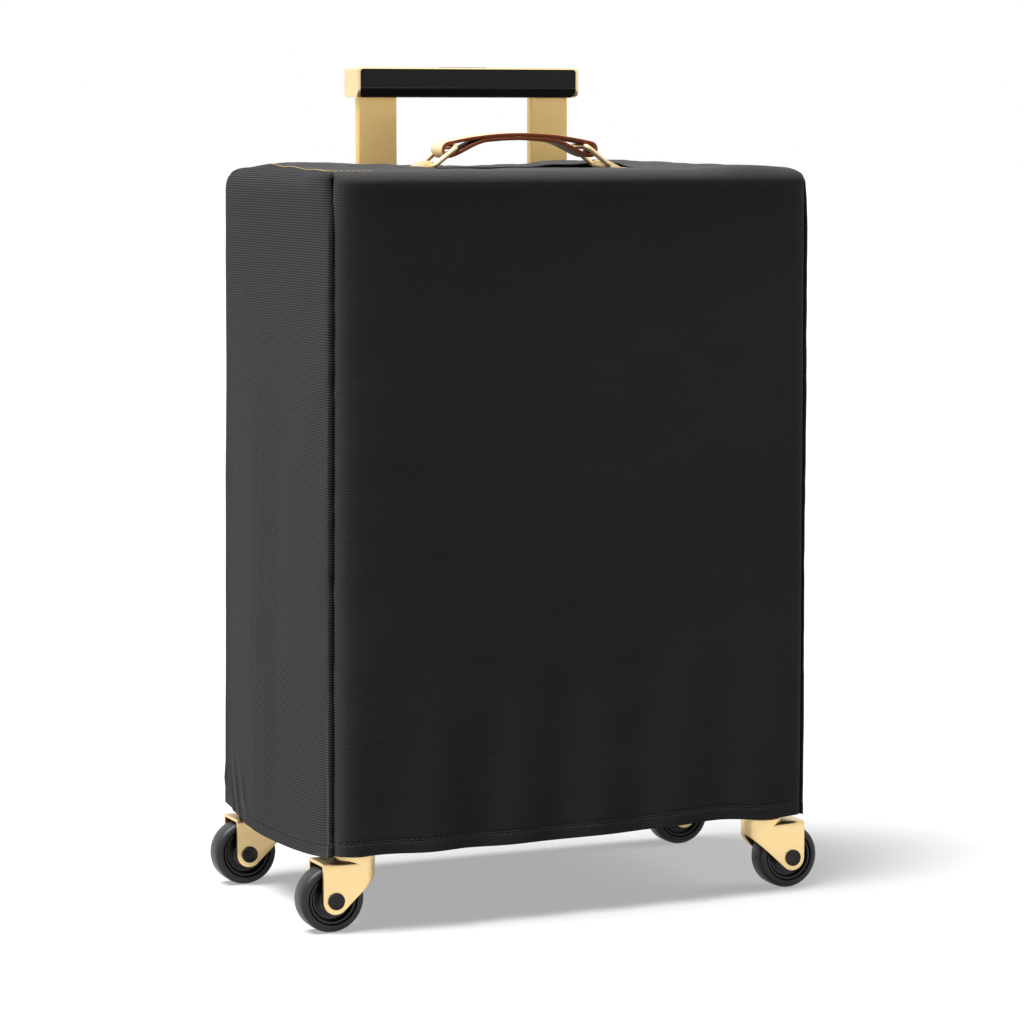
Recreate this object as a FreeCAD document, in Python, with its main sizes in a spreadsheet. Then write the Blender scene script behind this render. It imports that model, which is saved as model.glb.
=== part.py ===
"""A covered cabin suitcase on four swivel casters, in millimetres.

Origin on the floor under the middle of the case, +Z up, the front face towards -Y.
Two hard half shells hang on a side hinge, a telescopic trolley rises at the back,
a leather carry handle sits on top, and a cloth cover slips over everything from above.
"""
import FreeCAD, Part
import math
import os
import re

import Sketcher

# Driving sizes: name, value in millimetres or degrees, what it measures
SIZES = {
    "case_width": (372.0, "outer width of the two half shells"),
    "case_depth": (222.0, "outer depth of the closed shells"),
    "case_height": (488.7, "outer height of the shells"),
    "lid_depth": (73.0, "front face to the parting plane"),
    "shell_wall": (2.5, "wall of the half shells"),
    "shell_corner": (20.0, "upper corner radius, seen from the front"),
    "foot_corner": (6.0, "lower corner radius, seen from the front"),
    "face_edge": (5.0, "radius round the front and back faces"),
    "rim_gap": (24.0, "width of the zip band between the two rims"),
    "band_wall": (1.5, "thickness of the zip tape"),
    "band_overlap": (8.0, "tape sewn inside each rim"),
    "bead": (1.6, "height and width of one row of zip coil"),
    "parting_gap": (0.3, "gap between the two rows of zip coil"),
    "hinge_stand": (0.6, "hinge axis outside the side wall"),
    "knuckle_radius": (2.6, "outer radius of a hinge knuckle"),
    "hinge_pin_radius": (1.2, "radius of the hinge pins"),
    "hinge_fit": (0.05, "radial clearance of the hinge pins"),
    "knuckle_length": (20.0, "length of one knuckle"),
    "knuckle_gap": (0.3, "gap between knuckles"),
    "leaf_wall": (1.5, "thickness of a hinge leaf"),
    "leaf_setback": (3.2, "hinge axis to the near edge of a leaf"),
    "leaf_reach": (11.0, "hinge axis to the far edge of a leaf"),
    "low_hinge": (170.0, "height of the lower hinge above the floor"),
    "high_hinge": (430.0, "height of the upper hinge above the floor"),
    "slider_height": (300.0, "height of the zip slider above the floor"),
    "slider_length": (12.0, "length of the zip slider"),
    "slider_width": (8.0, "width of the zip slider"),
    "slider_wall": (2.4, "thickness of the zip slider"),
    "slider_gap": (0.3, "zip slider to the coil"),
    "ear_wall": (1.2, "thickness of the slider's ears"),
    "ear_drop": (3.6, "length of the slider's ears"),
    "puller_pin_radius": (0.8, "radius of the puller's pin"),
    "puller_eye": (1.4, "outer radius of the puller's eye"),
    "puller_length": (22.0, "pin to the puller's tip"),
    "puller_width": (4.4, "width of the puller"),
    "puller_wall": (1.0, "thickness of the puller"),
    "puller_fit": (0.05, "radial clearance of the puller's pin"),
    "leg_spacing": (145.0, "distance between the trolley legs' centres"),
    "leg_width": (32.0, "width of a trolley leg"),
    "leg_thick": (8.0, "thickness of a trolley leg"),
    "leg_wall": (1.5, "wall of a trolley leg"),
    "leg_setback": (16.0, "back face of the case to the legs' centre plane"),
    "trolley_raise": (53.1, "bezel to the underside of the grip as photographed"),
    "collapse_room": (14.0, "room left under the legs when they are pushed home"),
    "guide_play": (0.3, "clearance of the legs in their collars"),
    "tube_play": (1.2, "clearance of the legs in their tubes"),
    "tube_wall": (1.2, "wall of the outer tubes"),
    "collar_height": (20.0, "height of the tube collars"),
    "plug_height": (20.0, "height of the plugs under the legs"),
    "brace_height": (20.0, "height of the tube braces"),
    "brace_foot": (8.0, "height of the bar under the tubes"),
    "low_brace": (200.0, "height of the lower tube brace above the floor"),
    "high_brace": (440.0, "height of the upper tube brace above the floor"),
    "brace_margin": (6.0, "brace past the outer side of each tube"),
    "bezel_height": (1.2, "height of the bezel on the case top"),
    "bezel_margin": (2.0, "bezel past the tubes, all round"),
    "lining_wall": (1.5, "thickness of the lining board"),
    "lining_gap": (0.3, "clearance round the lining board"),
    "grip_length": (186.0, "length of the trolley grip"),
    "grip_depth": (28.0, "depth of the trolley grip"),
    "grip_height": (23.0, "height of the trolley grip"),
    "grip_crease": (7.0, "height of the sloping lower front face"),
    "grip_slope": (5.0, "setback of the grip's lower front edge"),
    "grip_edge": (2.5, "radius along the grip's long edges"),
    "pad_end": (2.2, "gold lip at each end of the grip pad"),
    "pad_top": (1.2, "gold lip above the grip pad"),
    "pad_depth": (6.0, "depth of the grip pad"),
    "socket_depth": (6.0, "legs let into the grip"),
    "crossbar_height": (4.0, "height of the bar that joins the release rods"),
    "crossbar_width": (5.0, "depth of the bar that joins the release rods"),
    "button_length": (40.0, "length of the release button"),
    "button_width": (10.0, "width of the release button"),
    "button_proud": (0.4, "release button above the grip"),
    "button_travel": (3.0, "travel of the release button"),
    "button_gap": (0.4, "clearance round the release button"),
    "rod_width": (6.0, "width of a release rod"),
    "rod_thick": (3.0, "thickness of a release rod"),
    "plunger_radius": (2.5, "radius of a lock plunger"),
    "plunger_length": (9.0, "length of a lock plunger"),
    "plunger_fit": (0.05, "radial clearance of a lock plunger"),
    "plunger_travel": (2.0, "travel of a lock plunger"),
    "pivot_spacing": (145.0, "distance between the carry handle's pivots"),
    "pivot_rise": (2.8, "case top to the carry handle's pivots"),
    "handle_forward": (4.0, "middle of the carry handle forward of the case's middle"),
    "link_length": (23.8, "pivot to the bar in the strap's loop"),
    "link_angle": (37.5, "slope of a link as photographed"),
    "link_width": (28.0, "distance between a link's two side wires"),
    "wire_radius": (2.0, "radius of the link wire"),
    "wire_fit": (0.05, "radial clearance of the link wire in its lug"),
    "lug_width": (17.0, "width of a lug"),
    "lug_tail": (21.0, "pivot to the thin end of a lug"),
    "lug_tip": (1.5, "thickness of a lug's thin end"),
    "lug_wall": (2.2, "metal round the pivot hole of a lug"),
    "strap_radius": (290.0, "radius of the strap's top face"),
    "strap_width": (21.0, "width of the strap"),
    "strap_thick": (4.6, "thickness of the strap between its loops"),
    "loop_half": (5.7, "half height of the strap's end loops"),
    "loop_wall": (2.5, "leather round the end loops"),
    "loop_reach": (6.4, "half length of the straight part of a loop"),
    "loop_seat": (0.3, "link bar to the top of its loop, where the strap rests"),
    "cloth": (1.0, "thickness of the cover cloth"),
    "cover_side": (4.0, "ease of the cover at the sides"),
    "cover_front": (3.0, "ease of the cover at the front and back"),
    "cover_top": (0.3, "ease of the cover above the case"),
    "cover_corner": (18.0, "upper corner radius of the cover, seen from the front"),
    "cover_edge": (10.0, "radius round the cover's front and back"),
    "hem_drop": (0.5, "hem below the case bottom"),
    "hem_height": (12.0, "height of the turned hem"),
    "slot_ease": (1.6, "cover slots past what they clear"),
    "wheel_radius": (24.5, "radius of a wheel"),
    "tyre_width": (19.0, "width of a tyre"),
    "tyre_edge": (4.0, "shoulder radius of a tyre"),
    "hub_radius": (18.5, "radius of a hub under its tyre"),
    "hub_width": (17.0, "width of a hub under its tyre"),
    "hub_dish": (3.0, "depth of the dish in a hub"),
    "dish_radius": (15.5, "outer radius of the dish in a hub"),
    "boss_radius": (8.0, "radius of a hub's boss"),
    "axle_radius": (4.0, "radius of an axle bolt"),
    "axle_fit": (0.05, "radial clearance of a hub on its bolt"),
    "cap_radius": (6.3, "radius of an axle bolt's head and nut"),
    "cap_height": (1.6, "height of an axle bolt's head and nut"),
    "swivel_side": (18.5, "swivel axis in from the side of the case"),
    "swivel_face": (20.0, "swivel axis in from the front or back of the case"),
    "trail": (20.0, "swivel axis to the axle"),
    "fork_height": (52.5, "floor to the top of a fork"),
    "fork_width": (30.0, "outer width of a fork"),
    "fork_wall": (2.5, "thickness of a fork's cheeks"),
    "fork_roof": (3.0, "thickness of a fork's top"),
    "fork_rake": (47.7, "slope of a cheek's inner edge, from the vertical"),
    "cheek_round": (9.8, "radius of a cheek round its axle"),
    "nose_flat": (1.0, "half width of the flat on a fork's round nose"),
    "boss_gap": (0.3, "hub boss to each cheek"),
    "kingpin_radius": (4.0, "radius of a kingpin"),
    "kingpin_fit": (0.05, "radial clearance of a fork on its kingpin"),
    "kingpin_head": (7.0, "radius of a kingpin's head"),
    "kingpin_flange": (2.6, "height of a kingpin's head"),
    "swivel_gap": (0.2, "running gap above and below a fork's top"),
    "bearing_radius": (11.0, "outer radius of a swivel bearing"),
    "bearing_height": (3.5, "fork top to caster plate"),
    "plate_radius": (13.0, "radius of a caster plate"),
    "plate_height": (4.0, "thickness of a caster plate"),
    "screw_circle": (8.6, "caster screws' distance from the kingpin's axis"),
    "screw_radius": (1.4, "radius of a caster screw"),
    "screw_head": (2.5, "radius of a caster screw's head"),
    "screw_sink": (1.5, "height of a caster screw's head"),
    "screw_tail": (2.0, "caster screw past the inside of the shell"),
}

# Places that follow from the driving sizes
CASE_BOTTOM = "(fork_height + bearing_height + plate_height)"
CASE_TOP = f"({CASE_BOTTOM} + case_height)"
HALF_WIDTH = "(case_width / 2)"
FRONT = "(-case_depth / 2)"
BACK = "(case_depth / 2)"
PARTING = "(lid_depth - case_depth / 2)"
LEG_X = "(leg_spacing / 2)"
LEG_Y = "(case_depth / 2 - leg_setback)"
BEZEL_TOP = f"({CASE_TOP} + bezel_height)"
GRIP_BOTTOM = f"({BEZEL_TOP} + trolley_raise)"
GRIP_TOP = f"({GRIP_BOTTOM} + grip_height)"
SOCKET_TOP = f"({GRIP_BOTTOM} + socket_depth)"
TUBE_HALF_X = "(leg_width / 2 + tube_play + tube_wall)"
TUBE_HALF_Y = "(leg_thick / 2 + tube_play + tube_wall)"
TUBE_BOTTOM = f"({CASE_BOTTOM} + shell_wall + brace_foot)"
PLUG_BOTTOM = f"({TUBE_BOTTOM} + trolley_raise + collapse_room)"
PLUG_TOP = f"({PLUG_BOTTOM} + plug_height)"
PLUNGER_Z = f"({PLUG_BOTTOM} + plug_height / 2)"
PIVOT_X = "(pivot_spacing / 2)"
HANDLE_Y = "(-handle_forward)"
PIVOT_Z = f"({CASE_TOP} + pivot_rise)"
BAR_X = f"({PIVOT_X} - link_length * cos(link_angle * 1 deg))"
BAR_Z = f"({PIVOT_Z} + link_length * sin(link_angle * 1 deg))"
ARCH_REACH = "(strap_radius - loop_half)"
LOOP_Z = f"({BAR_Z} + wire_radius + loop_seat - (loop_half - loop_wall))"
ARCH_Z = f"({LOOP_Z} - sqrt({ARCH_REACH} ^ 2 - {BAR_X} ^ 2))"
COVER_X = f"({HALF_WIDTH} + cover_side + cloth)"
COVER_Y = "(case_depth / 2 + cover_front + cloth)"
COVER_TOP = f"({CASE_TOP} + cover_top + cloth)"
HEM = f"({CASE_BOTTOM} - hem_drop)"
SWIVEL_X = f"({HALF_WIDTH} - swivel_side)"
SWIVEL_Y = "(case_depth / 2 - swivel_face)"
HINGE_X = f"(-{HALF_WIDTH} - hinge_stand)"
BAND_X = f"({HALF_WIDTH} - shell_wall)"
SLIDER_X = f"({BAND_X} + bead + slider_gap)"
PULLER_X = f"({SLIDER_X} + puller_eye + slider_gap)"
PULLER_Z = "(slider_height - slider_length / 2 - ear_drop / 2)"

CORNERS = {"front_left": (-1, -1), "front_right": (1, -1), "back_left": (-1, 1), "back_right": (1, 1)}
SIDES = {"left": -1, "right": 1}
SCREWS_PER_PLATE = 3
FULL_TURN = 360.0

# Two places closer than this are the same one, and a direction within this angle of an axis is along it
TOUCH = 0.001
ANGLE_SLACK = 2.0
AXES = {"x": FreeCAD.Vector(1, 0, 0), "y": FreeCAD.Vector(0, 1, 0), "z": FreeCAD.Vector(0, 0, 1)}

doc = FreeCAD.newDocument("suitcase")
pieces = []


def fill_sheet():
    """Put every driving size in the sheet, with its name as the cell's alias."""
    sheet = doc.addObject("Spreadsheet::Sheet", "sizes")
    for row, (alias, (value, meaning)) in enumerate(SIZES.items(), start=1):
        sheet.set(f"A{row}", meaning)
        sheet.set(f"B{row}", str(value))
        sheet.setAlias(f"B{row}", alias)
    doc.recompute()


def bound(formula):
    """A formula in size names, as an expression on the sheet's cells."""
    def cell(match):
        word = match.group()
        return f"sizes.{word}" if word in SIZES else word
    return re.sub("[a-z][a-z_]*", cell, str(formula))


def place(part, x=0, y=0, z=0, turn=None):
    """Bind a part's position to formulas, after giving it a fixed rotation."""
    if turn:
        axis, angle = turn
        part.Placement = FreeCAD.Placement(FreeCAD.Vector(), FreeCAD.Rotation(FreeCAD.Vector(*axis), angle))
    for letter, formula in zip("xyz", (x, y, z)):
        part.setExpression(f"Placement.Base.{letter}", bound(formula))
    return part


def piece(part, label):
    """Name a finished sub-part; its label becomes its file's name."""
    part.Label = label
    pieces.append(part)
    return part


# Solids from primitives
def box(low, high):
    """A block between two corners, each given as three formulas."""
    part = doc.addObject("Part::Box", "block")
    for side, start, end in zip(("Length", "Width", "Height"), low, high):
        part.setExpression(side, bound(f"({end}) - ({start})"))
    return place(part, *low)


def centred(x, y, half_x, half_y, low, high):
    """An upright block round a vertical centre line."""
    return box((f"{x} - {half_x}", f"{y} - {half_y}", low), (f"{x} + {half_x}", f"{y} + {half_y}", high))


TURNS = {"x": ((0, 1, 0), 90), "y": ((1, 0, 0), -90), "z": None}


def rod(axis, start, length, radius):
    """A cylinder from a start point along a named axis."""
    part = doc.addObject("Part::Cylinder", "rod")
    part.setExpression("Radius", bound(radius))
    part.setExpression("Height", bound(length))
    return place(part, *start, turn=TURNS[axis])


def ball(centre, radius):
    """A sphere round a point."""
    part = doc.addObject("Part::Sphere", "ball")
    part.setExpression("Radius", bound(radius))
    return place(part, *centre)


def group(*parts):
    """Separate solids held together as one object."""
    part = doc.addObject("Part::Compound", "group")
    part.Links = list(parts)
    return part


def fuse(*parts):
    """One solid from overlapping ones."""
    part = doc.addObject("Part::MultiFuse", "fused")
    part.Shapes = list(parts)
    return part


def cut(base, *tools):
    """A base less one or more tools."""
    part = doc.addObject("Part::Cut", "cut")
    part.Base = base
    part.Tool = tools[0] if len(tools) == 1 else fuse(*tools)
    return part


def common(base, tool):
    """What a base and a tool share."""
    part = doc.addObject("Part::Common", "shared")
    part.Base = base
    part.Tool = tool
    return part


# Solids from sketches
def sketch(body, role):
    """An empty sketch on one of the body's own origin planes."""
    drawing = body.newObject("Sketcher::SketchObject", "sketch")
    plane = next(feature for feature in body.Origin.OriginFeatures if feature.Role == role)
    drawing.AttachmentSupport = [(plane, "")]
    drawing.MapMode = "FlatFace"
    return drawing


def dimension(drawing, kind, formula, *where):
    """Add one constraint and bind its value to a formula."""
    name = f"size{drawing.ConstraintCount}"
    index = drawing.addConstraint(Sketcher.Constraint(kind, *where, 1.0))
    drawing.renameConstraint(index, name)
    drawing.setExpression(f"Constraints.{name}", bound(formula))


def polygon(body, role, corners):
    """A closed outline through corners given as pairs of formulas."""
    drawing = sketch(body, role)
    count = len(corners)
    spots = [FreeCAD.Vector(math.cos(step), math.sin(step), 0) for step in
             (2 * math.pi * number / count for number in range(count))]
    for number in range(count):
        drawing.addGeometry(Part.LineSegment(spots[number], spots[(number + 1) % count]))
    for number in range(count):
        drawing.addConstraint(Sketcher.Constraint("Coincident", number, 2, (number + 1) % count, 1))
    for number, (across, along) in enumerate(corners):
        dimension(drawing, "DistanceX", across, -1, 1, number, 1)
        dimension(drawing, "DistanceY", along, -1, 1, number, 1)
    return drawing


def circle(body, role, across, along, radius):
    """A round outline with its centre given by two formulas."""
    drawing = sketch(body, role)
    drawing.addGeometry(Part.Circle(FreeCAD.Vector(1, 1, 0), FreeCAD.Vector(0, 0, 1), 1.0))
    dimension(drawing, "DistanceX", across, -1, 1, 0, 3)
    dimension(drawing, "DistanceY", along, -1, 1, 0, 3)
    dimension(drawing, "Radius", radius, 0)
    return drawing


def pad(body, outline, length, side="One side", back=False):
    """Raise an outline; back points it against the sketch's normal."""
    feature = body.newObject("PartDesign::Pad", "pad")
    feature.Profile = outline
    feature.SideType = side
    feature.Reversed = back
    feature.setExpression("Length", bound(length))
    return feature


def pocket(body, outline, length, side="One side", back=False):
    """Cut an outline away and check that it removed something."""
    doc.recompute()
    before = body.Shape.Volume
    feature = body.newObject("PartDesign::Pocket", "pocket")
    feature.Profile = outline
    feature.SideType = side
    feature.Reversed = back
    feature.setExpression("Length", bound(length))
    doc.recompute()
    if feature.Shape.Volume >= before:
        raise RuntimeError(f"a pocket of {body.Label} cuts nothing")
    return feature


def runs_along(edge, letter):
    """True for a straight edge parallel to a named axis."""
    if edge.Curve.TypeId != "Part::GeomLine":
        return False
    angle = math.degrees(edge.Curve.Direction.getAngle(AXES[letter]))
    return min(angle, FULL_TURN / 2 - angle) < ANGLE_SLACK


def round_off(body, base, radius, chosen):
    """Fillet the edges of a feature that a test picks out."""
    doc.recompute()
    edges = [f"Edge{number}" for number, edge in enumerate(base.Shape.Edges, start=1) if chosen(edge)]
    feature = body.newObject("PartDesign::Fillet", "fillet")
    feature.Base = (base, edges)
    feature.setExpression("Radius", bound(radius))
    doc.recompute()
    return feature


def hollow(body, base, wall, is_open):
    """Turn a solid into a shell of even wall, without the faces that a test picks out."""
    faces = [f"Face{number}" for number, face in enumerate(base.Shape.Faces, start=1) if is_open(face)]
    feature = body.newObject("PartDesign::Thickness", "shell")
    feature.Base = (base, faces)
    feature.Reversed = True
    feature.setExpression("Value", bound(wall))
    doc.recompute()
    return feature


def slab(inset, near, far):
    """A block with the case's front outline, drawn in by an inset, between two depths."""
    body = doc.addObject("PartDesign::Body", "slab")
    side = f"({HALF_WIDTH} - ({inset}))"
    low = f"({CASE_BOTTOM} + ({inset}))"
    high = f"({CASE_TOP} - ({inset}))"
    outline = polygon(body, "XZ_Plane", [(f"-{side}", low), (side, low), (side, high), (f"-{side}", high)])
    block = pad(body, outline, f"({far}) - ({near})", back=True)
    place(body, y=near)
    doc.recompute()
    middle = block.Shape.BoundBox.Center.z
    upper = round_off(body, block, f"shell_corner - ({inset})",
                      lambda edge: runs_along(edge, "y") and edge.CenterOfMass.z > middle)
    round_off(body, upper, f"foot_corner - ({inset})",
              lambda edge: runs_along(edge, "y") and edge.CenterOfMass.z < middle
              and abs(edge.CenterOfMass.z - upper.Shape.BoundBox.ZMin) < TOUCH)
    return body


# Half shells, zip and hinges
def caster_axes(row):
    """Swivel axes of the front or the back pair of casters."""
    return [(f"({across} * {SWIVEL_X})", f"({along} * {SWIVEL_Y})")
            for across, along in CORNERS.values() if along == row]


def screw_spots(axis_x, axis_y):
    """Places of the screws round one kingpin."""
    spots = []
    for number in range(SCREWS_PER_PLATE):
        angle = math.radians(FULL_TURN * number / SCREWS_PER_PLATE)
        spots.append((f"{axis_x} + screw_circle * {math.cos(angle):.6f}",
                      f"{axis_y} + screw_circle * {math.sin(angle):.6f}"))
    return spots


def screw_holes(row):
    """Through holes for one pair of caster plates' screws."""
    low = f"{CASE_BOTTOM} - 2 * plate_height"
    return [rod("z", (x, y, low), "2 * plate_height + shell_wall + screw_tail", "screw_radius")
            for axis in caster_axes(row) for x, y in screw_spots(*axis)]


def half_shell(row):
    """A rounded tray, open towards the parting plane; row is -1 for the front, 1 for the back."""
    near = FRONT if row < 0 else f"({PARTING} + rim_gap / 2)"
    far = f"({PARTING} - rim_gap / 2)" if row < 0 else BACK
    body = slab("0", near, far)
    block = body.Tip
    bounds = block.Shape.BoundBox
    outer = bounds.YMin if row < 0 else bounds.YMax
    opening = bounds.YMax if row < 0 else bounds.YMin
    rounded = round_off(body, block, "face_edge",
                        lambda edge: abs(edge.BoundBox.YMin - outer) < TOUCH
                        and abs(edge.BoundBox.YMax - outer) < TOUCH)
    hollow(body, rounded, "shell_wall", lambda face: abs(face.CenterOfMass.y - opening) < TOUCH)
    return body


def shells():
    """The shallow front shell, which opens, and the deep back shell."""
    piece(cut(half_shell(-1), *screw_holes(-1)), "front_shell")
    tube_holes = [centred(f"{side} * {LEG_X}", LEG_Y, TUBE_HALF_X, TUBE_HALF_Y,
                          f"{CASE_TOP} - 2 * shell_wall", f"{CASE_TOP} + shell_wall")
                  for side in SIDES.values()]
    piece(cut(half_shell(1), *screw_holes(1), *tube_holes), "back_shell")


def ring(outer, inner, near, far):
    """A band that follows the case's outline between two insets."""
    return cut(slab(outer, near, far), slab(inner, near, far))


def zip_bands():
    """Two tapes sewn inside the rims; each has a row of coil, except along the hinges."""
    for row, label in ((-1, "front_zip_band"), (1, "back_zip_band")):
        middle = f"{PARTING} + {row} * parting_gap / 2"
        sewn = f"{PARTING} + {row} * (rim_gap / 2 + band_overlap)"
        crown = f"{middle} + {row} * bead"
        tape = (middle, sewn) if row > 0 else (sewn, middle)
        coil = (middle, crown) if row > 0 else (crown, middle)
        hinge_side = box((f"-{HALF_WIDTH}", coil[0], CASE_BOTTOM),
                         (f"shell_corner - {HALF_WIDTH}", coil[1], CASE_TOP))
        piece(fuse(ring("shell_wall", "shell_wall + band_wall", *tape),
                   cut(ring("shell_wall - bead", "shell_wall + band_wall", *coil), hinge_side)), label)


def hinges():
    """Two butt hinges on the left side: outer knuckles on the back shell, middle ones on the front."""
    leaves = {-1: [], 1: []}
    pins = []
    bore_radius = "hinge_pin_radius + hinge_fit"
    for height in ("low_hinge", "high_hinge"):
        low_end = f"{height} - 1.5 * knuckle_length - knuckle_gap"
        whole = "3 * knuckle_length + 2 * knuckle_gap"
        pins.append(rod("z", (HINGE_X, PARTING, low_end), whole, "hinge_pin_radius"))
        for row in leaves:
            steps = (0,) if row < 0 else (-1, 1)
            far = [f"{PARTING} + {row} * leaf_setback", f"{PARTING} + {row} * leaf_reach"]
            near = [PARTING, f"{PARTING} + {row} * leaf_setback"]
            if row < 0:
                far.reverse()
                near.reverse()
            solids = [box((f"-{BAND_X} - leaf_wall", far[0], low_end),
                          (f"-{BAND_X}", far[1], f"{low_end} + {whole}"))]
            bores = []
            for step in steps:
                start = f"{height} + {step} * (knuckle_length + knuckle_gap) - knuckle_length / 2"
                solids.append(rod("z", (HINGE_X, PARTING, start), "knuckle_length", "knuckle_radius"))
                end = f"{start} + knuckle_length"
                solids.append(box((HINGE_X, near[0], start), (f"-{BAND_X}", near[1], end)))
                bores.append(rod("z", (HINGE_X, PARTING, start), "knuckle_length", bore_radius))
            leaves[row].append(cut(fuse(*solids), *bores))
    piece(group(*leaves[-1]), "hinge_front_leaves")
    piece(group(*leaves[1]), "hinge_back_leaves")
    piece(group(*pins), "hinge_pins")


def zip_runner():
    """A slider on the right side of the zip, with a hanging puller."""
    top = "slider_height + slider_length / 2"
    bottom = "slider_height - slider_length / 2"
    ear_end = f"{bottom} - ear_drop"
    solids = [centred(f"{SLIDER_X} + slider_wall / 2", PARTING, "slider_wall / 2", "slider_width / 2",
                      bottom, top)]
    inner = "(puller_width / 2 + slider_gap)"
    for side in SIDES.values():
        middle = f"{PARTING} + {side} * ({inner} + ear_wall / 2)"
        solids.append(centred(f"{SLIDER_X} + slider_wall / 2", middle, "slider_wall / 2", "ear_wall / 2",
                              ear_end, f"{bottom} + ear_wall"))
    solids.append(rod("y", (PULLER_X, f"{PARTING} - {inner} - ear_wall", PULLER_Z),
                      f"2 * ({inner} + ear_wall)", "puller_pin_radius"))
    piece(fuse(*solids), "zip_slider")
    edge = f"{PARTING} - puller_width / 2"
    eye = rod("y", (PULLER_X, edge, PULLER_Z), "puller_width", "puller_eye")
    tab = centred(PULLER_X, PARTING, "puller_wall / 2", "puller_width / 2",
                  f"{PULLER_Z} - puller_length", PULLER_Z)
    hole = rod("y", (PULLER_X, edge, PULLER_Z), "puller_width", "puller_pin_radius + puller_fit")
    piece(cut(fuse(eye, tab), hole), "zip_puller")


# Trolley
def leg_prism(side, grow, low, high):
    """An upright block with a leg's section, grown by a formula on every side."""
    half_x = f"(leg_width / 2 + {grow})"
    half_y = f"(leg_thick / 2 + {grow})"
    return centred(f"{side} * {LEG_X}", LEG_Y, half_x, half_y, low, high)


def trolley_guides():
    """Tubes, collars, braces, bezel and lining that stay in the back shell."""
    collars = []
    holes = []
    for name, side in SIDES.items():
        tube = cut(leg_prism(side, "tube_play + tube_wall", TUBE_BOTTOM, CASE_TOP),
                   leg_prism(side, "tube_play", TUBE_BOTTOM, CASE_TOP))
        piece(tube, f"trolley_tube_{name}")
        low = f"{CASE_TOP} - collar_height"
        collars.append(cut(leg_prism(side, "tube_play", low, CASE_TOP),
                           leg_prism(side, "guide_play", low, CASE_TOP)))
        holes.append(leg_prism(side, "guide_play", CASE_TOP, BEZEL_TOP))
    piece(group(*collars), "tube_collars")
    reach = f"({LEG_X} + {TUBE_HALF_X} + bezel_margin)"
    bezel = centred("0", LEG_Y, reach, f"({TUBE_HALF_Y} + bezel_margin)", CASE_TOP, BEZEL_TOP)
    piece(cut(bezel, *holes), "top_bezel")
    span = f"({LEG_X} + {TUBE_HALF_X} + brace_margin)"
    foot = centred("0", LEG_Y, span, TUBE_HALF_Y, f"{CASE_BOTTOM} + shell_wall", TUBE_BOTTOM)
    braces = [box((f"-{span}", f"{LEG_Y} + {TUBE_HALF_Y}", f"{height} - brace_height / 2"),
                  (span, f"{BACK} - shell_wall", f"{height} + brace_height / 2"))
              for height in ("low_brace", "high_brace")]
    piece(group(foot, *braces), "tube_braces")
    face = f"{LEG_Y} - {TUBE_HALF_Y}"
    piece(slab("shell_wall + lining_gap", f"{face} - lining_wall", face), "lining_board")


def grip():
    """The gold grip frame with its black pad, hollowed for the release bar."""
    body = doc.addObject("PartDesign::Body", "grip_bar")
    front = "-grip_depth / 2"
    outline = polygon(body, "YZ_Plane", [
        (f"{front} + grip_slope", "0"),
        ("grip_depth / 2", "0"),
        ("grip_depth / 2", "grip_height"),
        (front, "grip_height"),
        (front, "grip_crease")])
    bar = pad(body, outline, "grip_length", side="Symmetric")
    round_off(body, bar, "grip_edge", lambda edge: runs_along(edge, "x"))
    place(body, y=LEG_Y, z=GRIP_BOTTOM)
    half = "(grip_length / 2 - pad_end)"
    seat = box((f"-{half}", f"{LEG_Y} - grip_depth", f"{GRIP_BOTTOM} - grip_edge"),
               (half, f"{LEG_Y} - grip_depth / 2 + pad_depth", f"{GRIP_TOP} - pad_top"))
    piece(common(body, seat), "grip_pad")
    sockets = [leg_prism(side, "0", f"{GRIP_BOTTOM} - grip_edge", SOCKET_TOP) for side in SIDES.values()]
    reach = f"({LEG_X} + leg_width / 2)"
    room = "(crossbar_width / 2 + button_gap)"
    tunnel = centred("0", LEG_Y, reach, room, f"{SOCKET_TOP} - button_gap",
                     f"{SOCKET_TOP} + button_travel + crossbar_height + button_gap")
    well = centred("0", LEG_Y, "(button_length / 2 + button_gap)", "(button_width / 2 + button_gap)",
                   f"{SOCKET_TOP} + button_travel", f"{GRIP_TOP} + button_proud")
    piece(cut(body, seat, *sockets, tunnel, well), "grip_frame")


def release():
    """The push button, the bar and rods that it drives, and the two lock plungers."""
    bar_low = f"({SOCKET_TOP} + button_travel)"
    bar_high = f"({bar_low} + crossbar_height)"
    reach = f"({LEG_X} + rod_width / 2)"
    bar = centred("0", LEG_Y, reach, "crossbar_width / 2", bar_low, bar_high)
    rods = [centred(f"{side} * {LEG_X}", LEG_Y, "rod_width / 2", "rod_thick / 2",
                    f"{PLUNGER_Z} + plunger_radius + button_travel + guide_play", bar_low)
            for side in SIDES.values()]
    piece(fuse(bar, *rods), "release_rods")
    button = centred("0", LEG_Y, "button_length / 2", "button_width / 2", bar_high,
                     f"{GRIP_TOP} + button_proud")
    piece(button, "release_button")
    for name, side in SIDES.items():
        tip = f"{LEG_X} + leg_width / 2 + tube_play - guide_play"
        start = f"{side} * ({tip})" if side < 0 else f"{tip} - plunger_length"
        plunger = rod("x", (start, LEG_Y, PLUNGER_Z), "plunger_length", "plunger_radius")
        piece(plunger, f"lock_plunger_{name}")


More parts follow.
